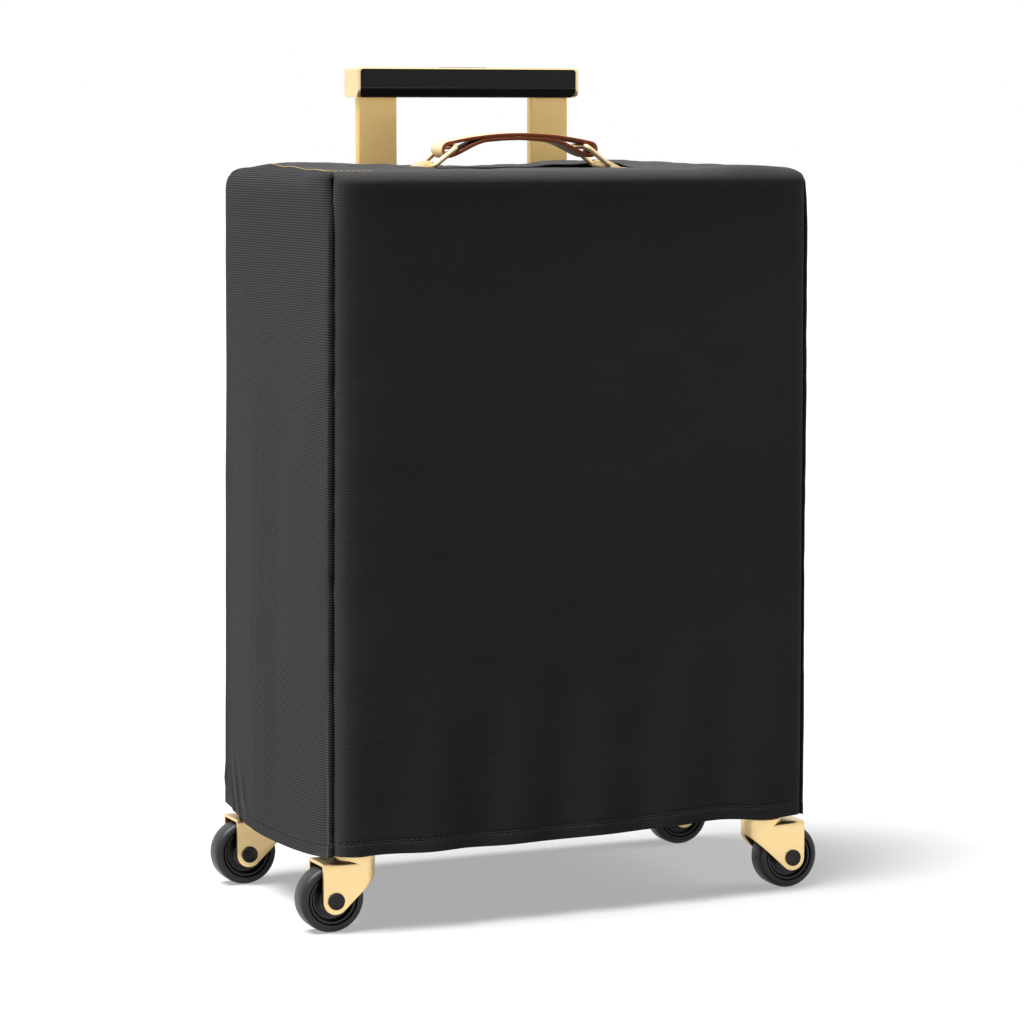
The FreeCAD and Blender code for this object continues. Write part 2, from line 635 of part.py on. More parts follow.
def trolley_legs():
    """Two hollow legs and the plugs that guide them and hold the plungers."""
    plugs = []
    for name, side in SIDES.items():
        leg = cut(leg_prism(side, "0", PLUG_TOP, SOCKET_TOP),
                  leg_prism(side, "(-leg_wall)", PLUG_TOP, SOCKET_TOP))
        piece(leg, f"trolley_leg_{name}")
        block = leg_prism(side, "tube_play - guide_play", PLUG_BOTTOM, PLUG_TOP)
        outside = f"({LEG_X} + leg_width / 2 + tube_play)"
        depth = "plunger_length + plunger_travel + guide_play"
        start = f"{side} * {outside}" if side < 0 else f"{outside} - ({depth})"
        bore = rod("x", (start, LEG_Y, PLUNGER_Z), depth, "plunger_radius + plunger_fit")
        chute = centred(f"{side} * {LEG_X}", LEG_Y, "(rod_width / 2 + guide_play)",
                        "(rod_thick / 2 + guide_play)", PLUNGER_Z, PLUG_TOP)
        plugs.append(cut(block, bore, chute))
    piece(group(*plugs), "leg_plugs")


# Carry handle
def lugs():
    """Tapered plates on the case top that hold the links' lower bars."""
    both = []
    for side in SIDES.values():
        body = doc.addObject("PartDesign::Body", "lug")
        foot = "-pivot_rise"
        crown = "(wire_radius + lug_wall)"
        outline = polygon(body, "XZ_Plane", [
            (f"-{crown}", foot),
            ("lug_tail", foot),
            ("lug_tail", f"{foot} + lug_tip"),
            (crown, crown),
            (f"-{crown}", crown)])
        block = pad(body, outline, "lug_width", side="Symmetric")
        round_off(body, block, "lug_wall",
                  lambda edge: runs_along(edge, "y") and edge.CenterOfMass.z > 0)
        eye = circle(body, "XZ_Plane", "0", "0", "wire_radius + wire_fit")
        pocket(body, eye, "2 * lug_width", side="Symmetric")
        place(body, x=f"{side} * {PIVOT_X}", y=HANDLE_Y, z=PIVOT_Z,
              turn=((0, 0, 1), 0 if side > 0 else 180))
        both.append(body)
    piece(group(*both), "handle_lugs")


def links():
    """Closed wire loops that join the strap to the lugs."""
    half = "link_width / 2"
    for name, side in SIDES.items():
        parts = [rod("y", (end, f"-{half}", "0"), "link_width", "wire_radius")
                 for end in ("0", "link_length")]
        for edge in (-1, 1):
            parts.append(rod("x", ("0", f"{edge} * {half}", "0"), "link_length", "wire_radius"))
            parts += [ball((end, f"{edge} * {half}", "0"), "wire_radius") for end in ("0", "link_length")]
        wire = fuse(*parts)
        place(wire, x=f"{side} * {PIVOT_X}", y=HANDLE_Y, z=PIVOT_Z, turn=((0, 1, 0), -1))
        slope = "-link_angle" if side < 0 else "link_angle - 180"
        wire.setExpression("Placement.Rotation.Angle", bound(slope))
        piece(wire, f"handle_link_{name}")


def loop(side, half_height):
    """A straight-sided round-ended block across the strap, tilted to the arch at a link's bar."""
    half = "strap_width / 2"
    parts = [box(("-loop_reach", f"-{half}", f"-({half_height})"), ("loop_reach", half, half_height))]
    parts += [rod("y", (end, f"-{half}", "0"), "strap_width", half_height)
              for end in ("-loop_reach", "loop_reach")]
    whole = fuse(*parts)
    place(whole, x=f"{side} * {BAR_X}", y=HANDLE_Y, z=LOOP_Z, turn=((0, 1, 0), 1))
    whole.setExpression("Placement.Rotation.Angle", bound(f"{side} * asin({BAR_X} / {ARCH_REACH})"))
    return whole


def strap():
    """The arched leather strap, folded round a link's bar at each end."""
    near = f"({HANDLE_Y} - strap_width / 2)"
    far = f"({HANDLE_Y} + strap_width / 2)"
    start = ("0", near, ARCH_Z)
    arch = cut(rod("y", start, "strap_width", "strap_radius"),
               rod("y", start, "strap_width", "strap_radius - strap_thick"))
    reach = common(arch, box((f"-{BAR_X}", near, f"{ARCH_Z} + {ARCH_REACH} / 2"),
                             (BAR_X, far, f"{ARCH_Z} + strap_radius")))
    ends = [loop(side, "loop_half") for side in SIDES.values()]
    holes = [loop(side, "loop_half - loop_wall") for side in SIDES.values()]
    piece(cut(fuse(reach, *ends), *holes), "handle_strap")


# Cloth cover
def cover():
    """Five cloth panels, a turned hem and the slots that the handles come through."""
    body = doc.addObject("PartDesign::Body", "cover")
    outline = polygon(body, "XZ_Plane", [(f"-{COVER_X}", HEM), (COVER_X, HEM),
                                         (COVER_X, COVER_TOP), (f"-{COVER_X}", COVER_TOP)])
    block = pad(body, outline, f"2 * {COVER_Y}", side="Symmetric")
    doc.recompute()
    bounds = block.Shape.BoundBox
    crowned = round_off(body, block, "cover_corner",
                        lambda edge: runs_along(edge, "y") and edge.CenterOfMass.z > bounds.ZMax - TOUCH)
    rounded = round_off(body, crowned, "cover_edge",
                        lambda edge: edge.BoundBox.YLength < TOUCH
                        and edge.BoundBox.ZMax > bounds.ZMin + TOUCH)
    hollow(body, rounded, "cloth", lambda face: abs(face.CenterOfMass.z - bounds.ZMin) < TOUCH)

    high = f"{COVER_TOP} + cloth"
    crest = f"{COVER_TOP} - cover_edge"
    handle_x = f"({PIVOT_X} + lug_tail + slot_ease)"
    handle_y = "(link_width / 2 + wire_radius + slot_ease)"
    handle_slot = centred("0", HANDLE_Y, handle_x, handle_y, CASE_TOP, high)
    trolley_slot = centred("0", LEG_Y, "(grip_length / 2 + slot_ease)", "(grip_depth / 2 + slot_ease)",
                           crest, high)
    sheet = cut(body, handle_slot, trolley_slot)

    seam_x = f"({COVER_X} - cover_corner)"
    seam_y = f"({COVER_Y} - cover_edge)"
    wide_x = f"({COVER_X} + cloth)"
    wide_y = f"({COVER_Y} + cloth)"
    regions = {
        "cover_front_panel": ((f"-{seam_x}", f"-{wide_y}", HEM), (seam_x, f"-{seam_y}", high)),
        "cover_back_panel": ((f"-{seam_x}", seam_y, HEM), (seam_x, wide_y, high)),
        "cover_top_panel": ((f"-{seam_x}", f"-{seam_y}", crest), (seam_x, seam_y, high)),
        "cover_left_gusset": ((f"-{wide_x}", f"-{wide_y}", HEM), (f"-{seam_x}", wide_y, high)),
        "cover_right_gusset": ((seam_x, f"-{wide_y}", HEM), (wide_x, wide_y, high)),
    }
    for label, (start, end) in regions.items():
        piece(common(sheet, box(start, end)), label)

    rings = []
    for layers in (1, 2):
        ring_body = doc.addObject("PartDesign::Body", "hem")
        half_x = f"({COVER_X} - {layers} * cloth)"
        half_y = f"({COVER_Y} - {layers} * cloth)"
        edge = polygon(ring_body, "XY_Plane", [(f"-{half_x}", f"-{half_y}"), (half_x, f"-{half_y}"),
                                               (half_x, half_y), (f"-{half_x}", half_y)])
        band = pad(ring_body, edge, "hem_height")
        round_off(ring_body, band, f"cover_edge - {layers} * cloth", lambda edge: runs_along(edge, "z"))
        rings.append(place(ring_body, z=HEM))
    piece(cut(*rings), "cover_hem")


# Casters
def caster_mounts():
    """Plates, kingpins, swivel bearings and screws, in one group for each shell."""
    for row, end in ((-1, "front"), (1, "rear")):
        plates, kingpins, bearings, screws = [], [], [], []
        low = f"{CASE_BOTTOM} - plate_height"
        for x, y in caster_axes(row):
            tools = [rod("z", (x, y, low), "plate_height", "kingpin_radius")]
            for spot in screw_spots(x, y):
                shank = rod("z", (*spot, low), "plate_height + shell_wall + screw_tail", "screw_radius")
                head = rod("z", (*spot, low), "screw_sink", "screw_head")
                screws.append(fuse(shank, head))
                tools += [rod("z", (*spot, low), "plate_height", "screw_radius"),
                          rod("z", (*spot, low), "screw_sink", "screw_head")]
            plates.append(cut(rod("z", (x, y, low), "plate_height", "plate_radius"), *tools))
            roof = "fork_height - fork_roof - swivel_gap"
            kingpins.append(fuse(
                rod("z", (x, y, f"{roof} - kingpin_flange"), "kingpin_flange", "kingpin_head"),
                rod("z", (x, y, roof), f"{CASE_BOTTOM} - ({roof})", "kingpin_radius")))
            height = "bearing_height - swivel_gap"
            start = (x, y, "fork_height + swivel_gap")
            bearings.append(cut(rod("z", start, height, "bearing_radius"),
                                rod("z", start, height, "kingpin_radius")))
        piece(group(*plates), f"{end}_caster_plates")
        piece(group(*kingpins), f"{end}_kingpins")
        piece(group(*bearings), f"{end}_swivel_bearings")
        piece(group(*screws), f"{end}_caster_screws")


def fork(corner, across, along):
    """A folded fork: cheeks that narrow to the axle, a round nose and a ring round the swivel bearing."""
    body = doc.addObject("PartDesign::Body", "fork")
    tail = "(trail + cheek_round)"
    nose = "(fork_width / 2)"
    toe = "(wheel_radius - cheek_round / tan(fork_rake * 0.5 deg))"
    outline = polygon(body, "XZ_Plane", [
        (f"-{tail}", "fork_height"),
        (f"-{tail}", toe),
        (nose, f"{toe} + ({tail} + {nose}) / tan(fork_rake * 1 deg)"),
        (nose, "fork_height")])
    block = pad(body, outline, "fork_width", side="Symmetric")
    doc.recompute()
    bounds = block.Shape.BoundBox
    rounded = round_off(body, block, "cheek_round",
                        lambda edge: runs_along(edge, "y") and edge.CenterOfMass.z < bounds.ZMin + TOUCH)
    round_off(body, rounded, f"{nose} - nose_flat",
              lambda edge: runs_along(edge, "z") and edge.CenterOfMass.x > bounds.XMax - TOUCH)
    inner = f"({nose} - fork_wall)"
    cavity = doc.addObject("PartDesign::Body", "fork_room")
    room = polygon(cavity, "XY_Plane", [(f"-2 * {tail}", f"-{inner}"), (inner, f"-{inner}"),
                                        (inner, inner), (f"-2 * {tail}", inner)])
    hollowed = pad(cavity, room, "fork_height - fork_roof")
    round_off(cavity, hollowed, f"{inner} - nose_flat",
              lambda edge: runs_along(edge, "z") and edge.CenterOfMass.x > 0)
    bore = rod("z", ("0", "0", "0"), "2 * fork_height", "kingpin_radius + kingpin_fit")
    axle_hole = rod("y", ("-trail", "-fork_width", "wheel_radius"), "2 * fork_width", "axle_radius")
    crown = ("0", "0", "fork_height")
    crown_height = "bearing_height - swivel_gap"
    ring = cut(rod("z", crown, crown_height, nose),
               rod("z", crown, crown_height, "bearing_radius + swivel_gap"))
    folded = cut(fuse(body, ring), cavity, bore, axle_hole)
    place(folded, x=f"{across} * {SWIVEL_X}", y=f"{along} * {SWIVEL_Y}",
          turn=((0, 0, 1), 0 if across < 0 else 180))
    piece(folded, f"caster_fork_{corner}")


def wheel(corner, across, along):
    """Tyre, hub and axle bolt of one caster."""
    x = f"({across} * ({SWIVEL_X} + trail))"
    y = f"({along} * {SWIVEL_Y})"
    body = doc.addObject("PartDesign::Body", "tyre")
    half = "(tyre_width / 2)"
    outline = polygon(body, "YZ_Plane", [(f"-{half}", "hub_radius"), (half, "hub_radius"),
                                         (half, "wheel_radius"), (f"-{half}", "wheel_radius")])
    turned = body.newObject("PartDesign::Revolution", "turned")
    turned.Profile = outline
    turned.ReferenceAxis = (outline, ["H_Axis"])
    turned.Angle = FULL_TURN
    doc.recompute()
    tread = turned.Shape.BoundBox.ZMax
    round_off(body, turned, "tyre_edge", lambda edge: edge.BoundBox.ZMax > tread - TOUCH
              and edge.BoundBox.YLength < TOUCH)
    piece(place(body, x=x, y=y, z="wheel_radius"), f"tyre_{corner}")

    def disc(width, radius, start=None):
        return rod("y", (x, start or f"{y} - ({width}) / 2", "wheel_radius"), width, radius)

    boss_width = "fork_width - 2 * fork_wall - 2 * boss_gap"
    dishes = []
    for side in SIDES.values():
        low = f"{y} + {side} * hub_width / 2" + (" - hub_dish" if side > 0 else "")
        dishes.append(cut(disc("hub_dish", "dish_radius", low), disc("hub_dish", "boss_radius", low)))
    rim = cut(disc("hub_width", "hub_radius"), *dishes)
    piece(cut(fuse(rim, disc(boss_width, "boss_radius")), disc(boss_width, "axle_radius + axle_fit")),
          f"wheel_hub_{corner}")

    shank = disc("fork_width + 2 * cap_height", "axle_radius")
    head = disc("cap_height", "cap_radius", f"{y} - fork_width / 2 - cap_height")
    nut_start = f"{y} + fork_width / 2"
    nut = cut(disc("cap_height", "cap_radius", nut_start), disc("cap_height", "axle_radius", nut_start))
    piece(group(fuse(shank, head), nut), f"axle_bolt_{corner}")


def check_and_write():
    """Stop on any failed object or bad shape, then write one file for each sub-part."""
    doc.recompute()
    for part in doc.Objects:
        if {"Invalid", "Error"} & set(part.State):
            raise RuntimeError(f"{part.Name} ({part.Label}) failed: {part.State}")
    for part in pieces:
        if part.Shape.isNull() or not part.Shape.isValid() or not part.Shape.Solids:
            raise RuntimeError(f"{part.Label} has no sound shape")
    os.makedirs("parts", exist_ok=True)
    for part in pieces:
        part.Shape.exportStep(f"parts/{part.Label}.step")
    print(f"{len(pieces)} sub-parts written")


fill_sheet()
shells()
zip_bands()
hinges()
zip_runner()
trolley_guides()
trolley_legs()
grip()
release()
lugs()
links()
strap()
cover()
caster_mounts()
for corner, (across, along) in CORNERS.items():
    fork(corner, across, along)
    wheel(corner, across, along)
check_and_write()
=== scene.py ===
"""Looks of the covered cabin suitcase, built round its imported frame. Everything is in metres."""

import math

import bpy
import numpy as np
from mathutils import Matrix, Vector, noise


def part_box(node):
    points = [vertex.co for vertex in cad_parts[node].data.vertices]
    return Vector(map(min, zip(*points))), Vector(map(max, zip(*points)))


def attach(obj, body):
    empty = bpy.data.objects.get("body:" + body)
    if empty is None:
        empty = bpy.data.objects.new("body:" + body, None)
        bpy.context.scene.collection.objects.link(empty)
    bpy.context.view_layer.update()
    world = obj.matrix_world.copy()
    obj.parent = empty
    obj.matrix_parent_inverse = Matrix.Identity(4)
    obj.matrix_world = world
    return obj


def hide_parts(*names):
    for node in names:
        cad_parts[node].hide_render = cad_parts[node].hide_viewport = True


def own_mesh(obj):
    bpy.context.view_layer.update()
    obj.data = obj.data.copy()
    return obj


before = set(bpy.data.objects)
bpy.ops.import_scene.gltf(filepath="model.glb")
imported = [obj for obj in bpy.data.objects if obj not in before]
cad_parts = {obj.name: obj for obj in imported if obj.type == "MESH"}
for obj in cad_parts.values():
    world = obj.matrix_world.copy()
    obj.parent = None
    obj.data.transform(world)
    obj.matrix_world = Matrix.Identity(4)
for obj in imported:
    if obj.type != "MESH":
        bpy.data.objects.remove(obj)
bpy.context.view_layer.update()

MM = 0.001
SIDES = {"left": -1, "right": 1}
CORNERS = {"front_left": -1, "front_right": 1, "back_left": -1, "back_right": 1}
COVER_NODES = ["cover_front_panel", "cover_back_panel", "cover_top_panel", "cover_left_gusset",
               "cover_right_gusset", "cover_hem"]


# Meshes
def add_object(name, mesh):
    """An object of that mesh in the scene."""
    obj = bpy.data.objects.new(name, mesh)
    bpy.context.scene.collection.objects.link(obj)
    return obj


def solid(name, points, faces, *materials, sharp=35):
    """A smooth shaded object, with edges sharper than an angle in degrees left crisp."""
    mesh = bpy.data.meshes.new(name)
    mesh.from_pydata([tuple(point) for point in points], [], faces)
    mesh.update()
    for material in materials:
        mesh.materials.append(material)
    shade(mesh, sharp)
    return add_object(name, mesh)


def shade(mesh, sharp=35):
    """Smooth shading, with crisp edges above an angle."""
    mesh.polygons.foreach_set("use_smooth", [True] * len(mesh.polygons))
    mesh.set_sharp_from_angle(angle=math.radians(sharp))


def settle(obj, sharp=35):
    """Turn an object's modifiers into plain mesh."""
    graph = bpy.context.evaluated_depsgraph_get()
    mesh = bpy.data.meshes.new_from_object(obj.evaluated_get(graph), preserve_all_data_layers=True,
                                           depsgraph=graph)
    obj.modifiers.clear()
    obj.data = mesh
    shade(mesh, sharp)
    return obj


def soften(obj, width, segments=3, angle=30):
    """Round every edge sharper than an angle, then settle the mesh."""
    bevel = obj.modifiers.new("soften", "BEVEL")
    bevel.width = width
    bevel.segments = segments
    bevel.limit_method = "ANGLE"
    bevel.angle_limit = math.radians(angle)
    return settle(obj)


def rounded(corners, steps=6):
    """A closed outline from corners (across, along, radius), with an arc at each corner."""
    outline = []
    for number, (across, along, radius) in enumerate(corners):
        here = Vector((across, along))
        before = (Vector(corners[number - 1][:2]) - here).normalized()
        after = (Vector(corners[(number + 1) % len(corners)][:2]) - here).normalized()
        half = before.angle(after) / 2
        centre = here + (before + after).normalized() * (radius / math.sin(half))
        start = here + before * (radius / math.tan(half)) - centre
        end = here + after * (radius / math.tan(half)) - centre
        turn = -start.angle_signed(end) / steps
        outline += [centre + Matrix.Rotation(turn * step, 2) @ start for step in range(steps + 1)]
    return outline


def rounded_box(low, high, radius, steps=6):
    """A rectangle's outline with round corners, from its low to its high corner."""
    corners = [(low[0], low[1]), (high[0], low[1]), (high[0], high[1]), (low[0], high[1])]
    return rounded([(*corner, radius) for corner in corners], steps)


def merge(parts):
    """Points and faces of several meshes as one."""
    points, faces = [], []
    for more, sides in parts:
        faces += [[index + len(points) for index in face] for face in sides]
        points += more
    return points, faces


def mirror(flank):
    """A profile's points on the other side of height 0, in backward order."""
    return [(radius, -height) for radius, height in flank[::-1]]


def prism(outline, place, start, end):
    """Points and faces of an outline drawn out along a third axis; place makes a point of the three."""
    count = len(outline)
    points = [place(a, b, depth) for depth in (start, end) for a, b in outline]
    faces = [[n, (n + 1) % count, count + (n + 1) % count, count + n] for n in range(count)]
    faces += [list(range(count))[::-1], list(range(count, 2 * count))]
    return points, faces


def grid_faces(rows, columns, closed_rows=False, closed_columns=False):
    """Faces of a grid of points that is stored row by row."""
    faces = []
    for row in range(rows if closed_rows else rows - 1):
        for column in range(columns if closed_columns else columns - 1):
            next_row = (row + 1) % rows
            next_column = (column + 1) % columns
            faces.append([row * columns + column, row * columns + next_column,
                          next_row * columns + next_column, next_row * columns + column])
    return faces


def arc(centre, radius, start, end, steps=6):
    """Profile points on an arc, angles in degrees."""
    spots = []
    for step in range(steps + 1):
        angle = math.radians(start + (end - start) * step / steps)
        spots.append((centre[0] + radius * math.cos(angle), centre[1] + radius * math.sin(angle)))
    return spots


def lathe(profile, centre, segments, closed=True, lying=False):
    """Points and faces of a profile (radius, height) turned about an upright axis, or one along y."""
    points = []
    for step in range(segments):
        angle = math.tau * step / segments
        for radius, height in profile:
            a, b = radius * math.cos(angle), radius * math.sin(angle)
            points.append(np.add(centre, (a, height, b) if lying else (a, b, height)))
    return points, grid_faces(segments, len(profile), closed_rows=True, closed_columns=closed)


def sweep(path, side, section):
    """Points and faces of a closed section carried along a closed flat path; side is square to the path."""
    side = np.array(side)
    ways = np.roll(path, -1, axis=0) - np.roll(path, 1, axis=0)
    ups = np.cross(side, ways / np.linalg.norm(ways, axis=1)[:, None])
    points = [spot + side * across + up * height for spot, up in zip(path, ups) for across, height in section]
    return points, grid_faces(len(path), len(section), closed_rows=True, closed_columns=True)


def dress(obj, body, slot, *nodes):
    """Let a piece ride on a body and stand for CAD nodes. The slot argument is not used."""
    fix_normals(obj.data)
    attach(obj, body)
    if nodes:
        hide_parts(*nodes)


def fix_normals(mesh):
    """Point a closed mesh's faces outwards."""
    corners = np.array([vertex.co for vertex in mesh.vertices])
    mesh.calc_loop_triangles()
    triangles = np.array([list(triangle.vertices) for triangle in mesh.loop_triangles])
    a, b, c = (corners[triangles[:, number]] for number in range(3))
    if np.sum(a * np.cross(b, c)) < 0:
        mesh.flip_normals()


# Materials
class Shader:
    """A node material with one principled surface, and short ways to add and join nodes."""

    def __init__(self, name, colour, roughness, metallic=0.0):
        self.material = bpy.data.materials.new(name)
        self.material.use_nodes = True
        self.tree = self.material.node_tree
        self.surface = self.tree.nodes["Principled BSDF"]
        self.look("Base Color", colour)
        self.look("Roughness", roughness)
        self.look("Metallic", metallic)

    def look(self, socket, value):
        """Set or link one input of the surface."""
        self.put(self.surface, socket, value)

    def put(self, node, socket, value):
        """Set a socket to a value or a colour, or link it to another node's output."""
        entry = node.inputs[socket]
        if isinstance(value, bpy.types.NodeSocket):
            self.tree.links.new(value, entry)
        else:
            entry.default_value = (*value, 1.0) if entry.type == "RGBA" else value

    def node(self, kind, inputs, **settings):
        """Add a node with its settings and inputs."""
        made = self.tree.nodes.new("ShaderNode" + kind)
        for name, value in settings.items():
            setattr(made, name, value)
        for socket, value in inputs.items():
            self.put(made, socket, value)
        return made

    def math(self, operation, first, second=0.0, third=0.0):
        """One step of arithmetic."""
        return self.node("Math", {0: first, 1: second, 2: third}, operation=operation).outputs[0]

    def wave(self, value, pitch):
        """A sine wave along a value, from -1 to 1."""
        return self.math("SINE", self.math("MULTIPLY", value, math.tau / pitch))

    def range(self, value, low, high, start=0.0, end=1.0):
        """Carry a value from one range, at first 0 to 1, over to another."""
        return self.node("MapRange", {"Value": value, "From Min": start, "From Max": end, "To Min": low,
                                      "To Max": high}).outputs[0]

    def place(self):
        """The point on the surface at rest, in metres."""
        return self.node("TexCoord", {}).outputs["Object"]

    def grain(self, size, detail=2.0, stretch=(1, 1, 1)):
        """Noise with a grain of that size in metres, from 0 to 1."""
        spot = self.node("Mapping", {"Vector": self.place(), "Scale": stretch}).outputs[0]
        return self.node("TexNoise", {"Vector": spot, "Scale": 1 / size, "Detail": detail}).outputs["Fac"]

    def mix(self, share, first, second):
        """A blend of two colours."""
        return self.node("Mix", {0: share, 6: first, 7: second}, data_type="RGBA").outputs[2]

    def bump(self, height, depth, strength=1.0):
        """Raise the surface by a height from 0 to 1, of that depth in metres."""
        made = self.node("Bump", {"Height": height, "Distance": depth, "Strength": strength})
        self.look("Normal", made.outputs[0])


def speckled(name, colour, roughness, grain, depth, metallic=0.0, shift=0.12, uneven=0.08, gloss=0.5):
    """A finish with fine grain: colour and roughness vary a little, and the surface is lightly pitted."""
    shader = Shader(name, colour, roughness, metallic)
    shader.look("Specular IOR Level", gloss)
    fine = shader.grain(grain)
    broad = shader.grain(60 * grain)
    darker = tuple(part * (1 - shift) for part in colour)
    lighter = tuple(min(1.0, part * (1 + shift)) for part in colour)
    shader.look("Base Color", shader.mix(fine, darker, lighter))
    shader.look("Roughness", shader.range(broad, roughness - uneven, roughness + uneven))
    shader.bump(fine, depth)
    return shader.material


GOLD = (0.97, 0.76, 0.43)
FORK_GOLD = (0.81, 0.60, 0.30)
LEG_GOLD = (0.98, 0.645, 0.265)
TWILL = 1.94 * MM
RIB = 1.86 * MM
CREASE_FOOT = 0.058
CREASE_SLOPE = -0.082
SIDE_MARK = 10.0


def cloth_material():
    """Black nylon: diagonal twill, with cross ribs that show most on the side panels. The side panels get a
    darker tone as painted shade, and a light line along the left panel's crease is a painted highlight.
    """
    shader = Shader("black_twill", (0.07, 0.07, 0.072), 0.80)
    weave = shader.node("UVMap", {}, uv_map="weave").outputs[0]
    parts = shader.node("SeparateXYZ", {0: weave}).outputs
    diagonal = shader.math("ADD", parts[0], parts[1])
    twill = shader.wave(diagonal, TWILL)
    rib = shader.wave(parts[1], RIB)
    on_side = shader.math("GREATER_THAN", parts[1], SIDE_MARK / 2)
    ribbed = shader.math("MULTIPLY", rib, shader.range(on_side, 0.22, 0.62))
    plain = shader.math("MULTIPLY", twill, shader.range(on_side, 1.0, 0.12))
    # Painted shade: the side panels' cloth gets a darker middle tone than the front's, to offset the stronger
    # key light on them.
    middle = shader.range(on_side, 0.5, 0.24)
    both = shader.math("MULTIPLY_ADD", shader.math("ADD", plain, ribbed), 0.40, middle)
    slub = shader.grain(9 * MM, 3.0, stretch=(1, 1, 5))
    thread = shader.math("MULTIPLY", both, shader.range(slub, 0.88, 1.12))
    # Painted highlight: a lighter line is added to the cloth colour along the left panel's pressed crease.
    thread_and_crease_highlight = shader.math("MULTIPLY_ADD", crease_line(shader), 0.22, thread)
    shader.look("Base Color", shader.mix(thread_and_crease_highlight, (0.010, 0.010, 0.010), (0.108, 0.108, 0.110)))
    shader.look("Sheen Weight", shader.range(on_side, 0.14, 0.105))
    shader.look("Sheen Roughness", 0.40)
    shader.look("Specular IOR Level", 0.02)
    shader.bump(thread, 0.06 * MM, 0.4)
    return shader.material


def crease_line(shader):
    """1 along the pressed crease down the left panel, 0 elsewhere: the mask of the painted highlight there.
    """
    spot = shader.node("SeparateXYZ", {0: shader.place()}).outputs
    route = shader.math("MULTIPLY_ADD", spot[2], CREASE_SLOPE, CREASE_FOOT)
    away = shader.math("ABSOLUTE", shader.math("SUBTRACT", spot[1], route))
    line = shader.range(away, 1.0, 0.0, 0.2 * MM, 0.9 * MM)
    on_left = shader.math("LESS_THAN", spot[0], -0.15)
    below = shader.range(spot[2], 1.0, 0.0, 0.34, 0.44)
    return shader.math("MULTIPLY", line, shader.math("MULTIPLY", on_left, below))


def leather_material():
    """Smooth champagne leather with pores."""
    shader = Shader("champagne_leather", (0.82, 0.64, 0.38), 0.48)
    pores = shader.node("TexVoronoi", {"Vector": shader.place(), "Scale": 1 / (0.9 * MM)}).outputs["Distance"]
    broad = shader.grain(18 * MM, 4.0)
    shader.look("Base Color", shader.mix(broad, (0.72, 0.54, 0.31), (0.90, 0.72, 0.46)))
    shader.look("Roughness", shader.range(broad, 0.42, 0.56))
    shader.bump(pores, 0.05 * MM, 0.6)
    return shader.material


def shell_material():
    """Pebbled black hard shell outside, tan lining inside."""
    shader = Shader("case_shell", (0.02, 0.02, 0.021), 0.5)
    place = shader.place()
    low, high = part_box("back_shell")
    middle = (Vector((low.x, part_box("front_shell")[0].y, low.z)) + high) / 2
    outward = shader.node("VectorMath", {0: place, 1: middle}, operation="SUBTRACT").outputs["Vector"]
    normal = shader.node("NewGeometry", {}).outputs["True Normal"]
    facing = shader.node("VectorMath", {0: normal, 1: outward}, operation="DOT_PRODUCT").outputs["Value"]
    inside = shader.math("LESS_THAN", facing, 0.0)
    pebble = shader.node("TexVoronoi", {"Vector": place, "Scale": 1 / (1.6 * MM)}).outputs["Distance"]
    cloth = shader.grain(0.8 * MM)
    lining = shader.mix(cloth, (0.30, 0.235, 0.165), (0.40, 0.32, 0.23))
    outer = shader.mix(pebble, (0.016, 0.016, 0.017), (0.028, 0.028, 0.029))
    shader.look("Base Color", shader.mix(inside, outer, lining))
    shader.look("Roughness", shader.range(inside, 0.46, 0.85))
    shader.bump(pebble, 0.08 * MM, 0.6)
    return shader.material


def woven(name, dark, light, pitch):
    """A plain woven cloth."""
    shader = Shader(name, light, 0.85)
    parts = shader.node("SeparateXYZ", {0: shader.place()}).outputs
    waves = [shader.wave(part, pitch) for part in parts]
    crossed = shader.math("MULTIPLY", shader.math("ADD", waves[0], waves[1]), waves[2])
    height = shader.math("MULTIPLY_ADD", crossed, 0.25, 0.5)
    shader.look("Base Color", shader.mix(height, dark, light))
    shader.look("Sheen Weight", 0.2)
    shader.bump(height, 0.1 * MM)
    return shader.material


cloth = cloth_material()
leather = leather_material()
shell = shell_material()
gold = speckled("satin_gold", GOLD, 0.34, 0.35 * MM, 0.012 * MM, 0.8, shift=0.03, uneven=0.05)
fork_gold = speckled("caster_gold", FORK_GOLD, 0.32, 0.5 * MM, 0.03 * MM, 1.0, shift=0.05, uneven=0.05)
# Painted shade: a dark reddish brown for the fork's inner faces, standing in for the shade in its hollow.
fork_painted_shade = speckled("caster_gold_painted_shade", (0.34, 0.13, 0.05), 0.45, 0.5 * MM, 0.02 * MM, 0.6)
leg_gold = speckled("blasted_gold", LEG_GOLD, 0.46, 0.8 * MM, 0.05 * MM, 0.66, shift=0.16, uneven=0.05)
grip_black = speckled("grip_black", (0.008, 0.008, 0.0085), 0.42, 0.4 * MM, 0.006 * MM, gloss=0.2)
tyre_black = speckled("tyre_black", (0.014, 0.014, 0.0145), 0.38, 0.6 * MM, 0.02 * MM, gloss=0.4)
hub_black = speckled("hub_black", (0.010, 0.010, 0.0105), 0.28, 0.5 * MM, 0.004 * MM, gloss=0.4)
cap_black = speckled("cap_black", (0.008, 0.008, 0.0085), 0.30, 0.3 * MM, 0.01 * MM, gloss=0.3)
edge_brown = speckled("edge_brown", (0.36, 0.085, 0.035), 0.5, 0.6 * MM, 0.03 * MM, shift=0.2, gloss=0.2)
thread_black = speckled("thread_black", (0.011, 0.011, 0.012), 0.6, 0.3 * MM, 0.05 * MM)
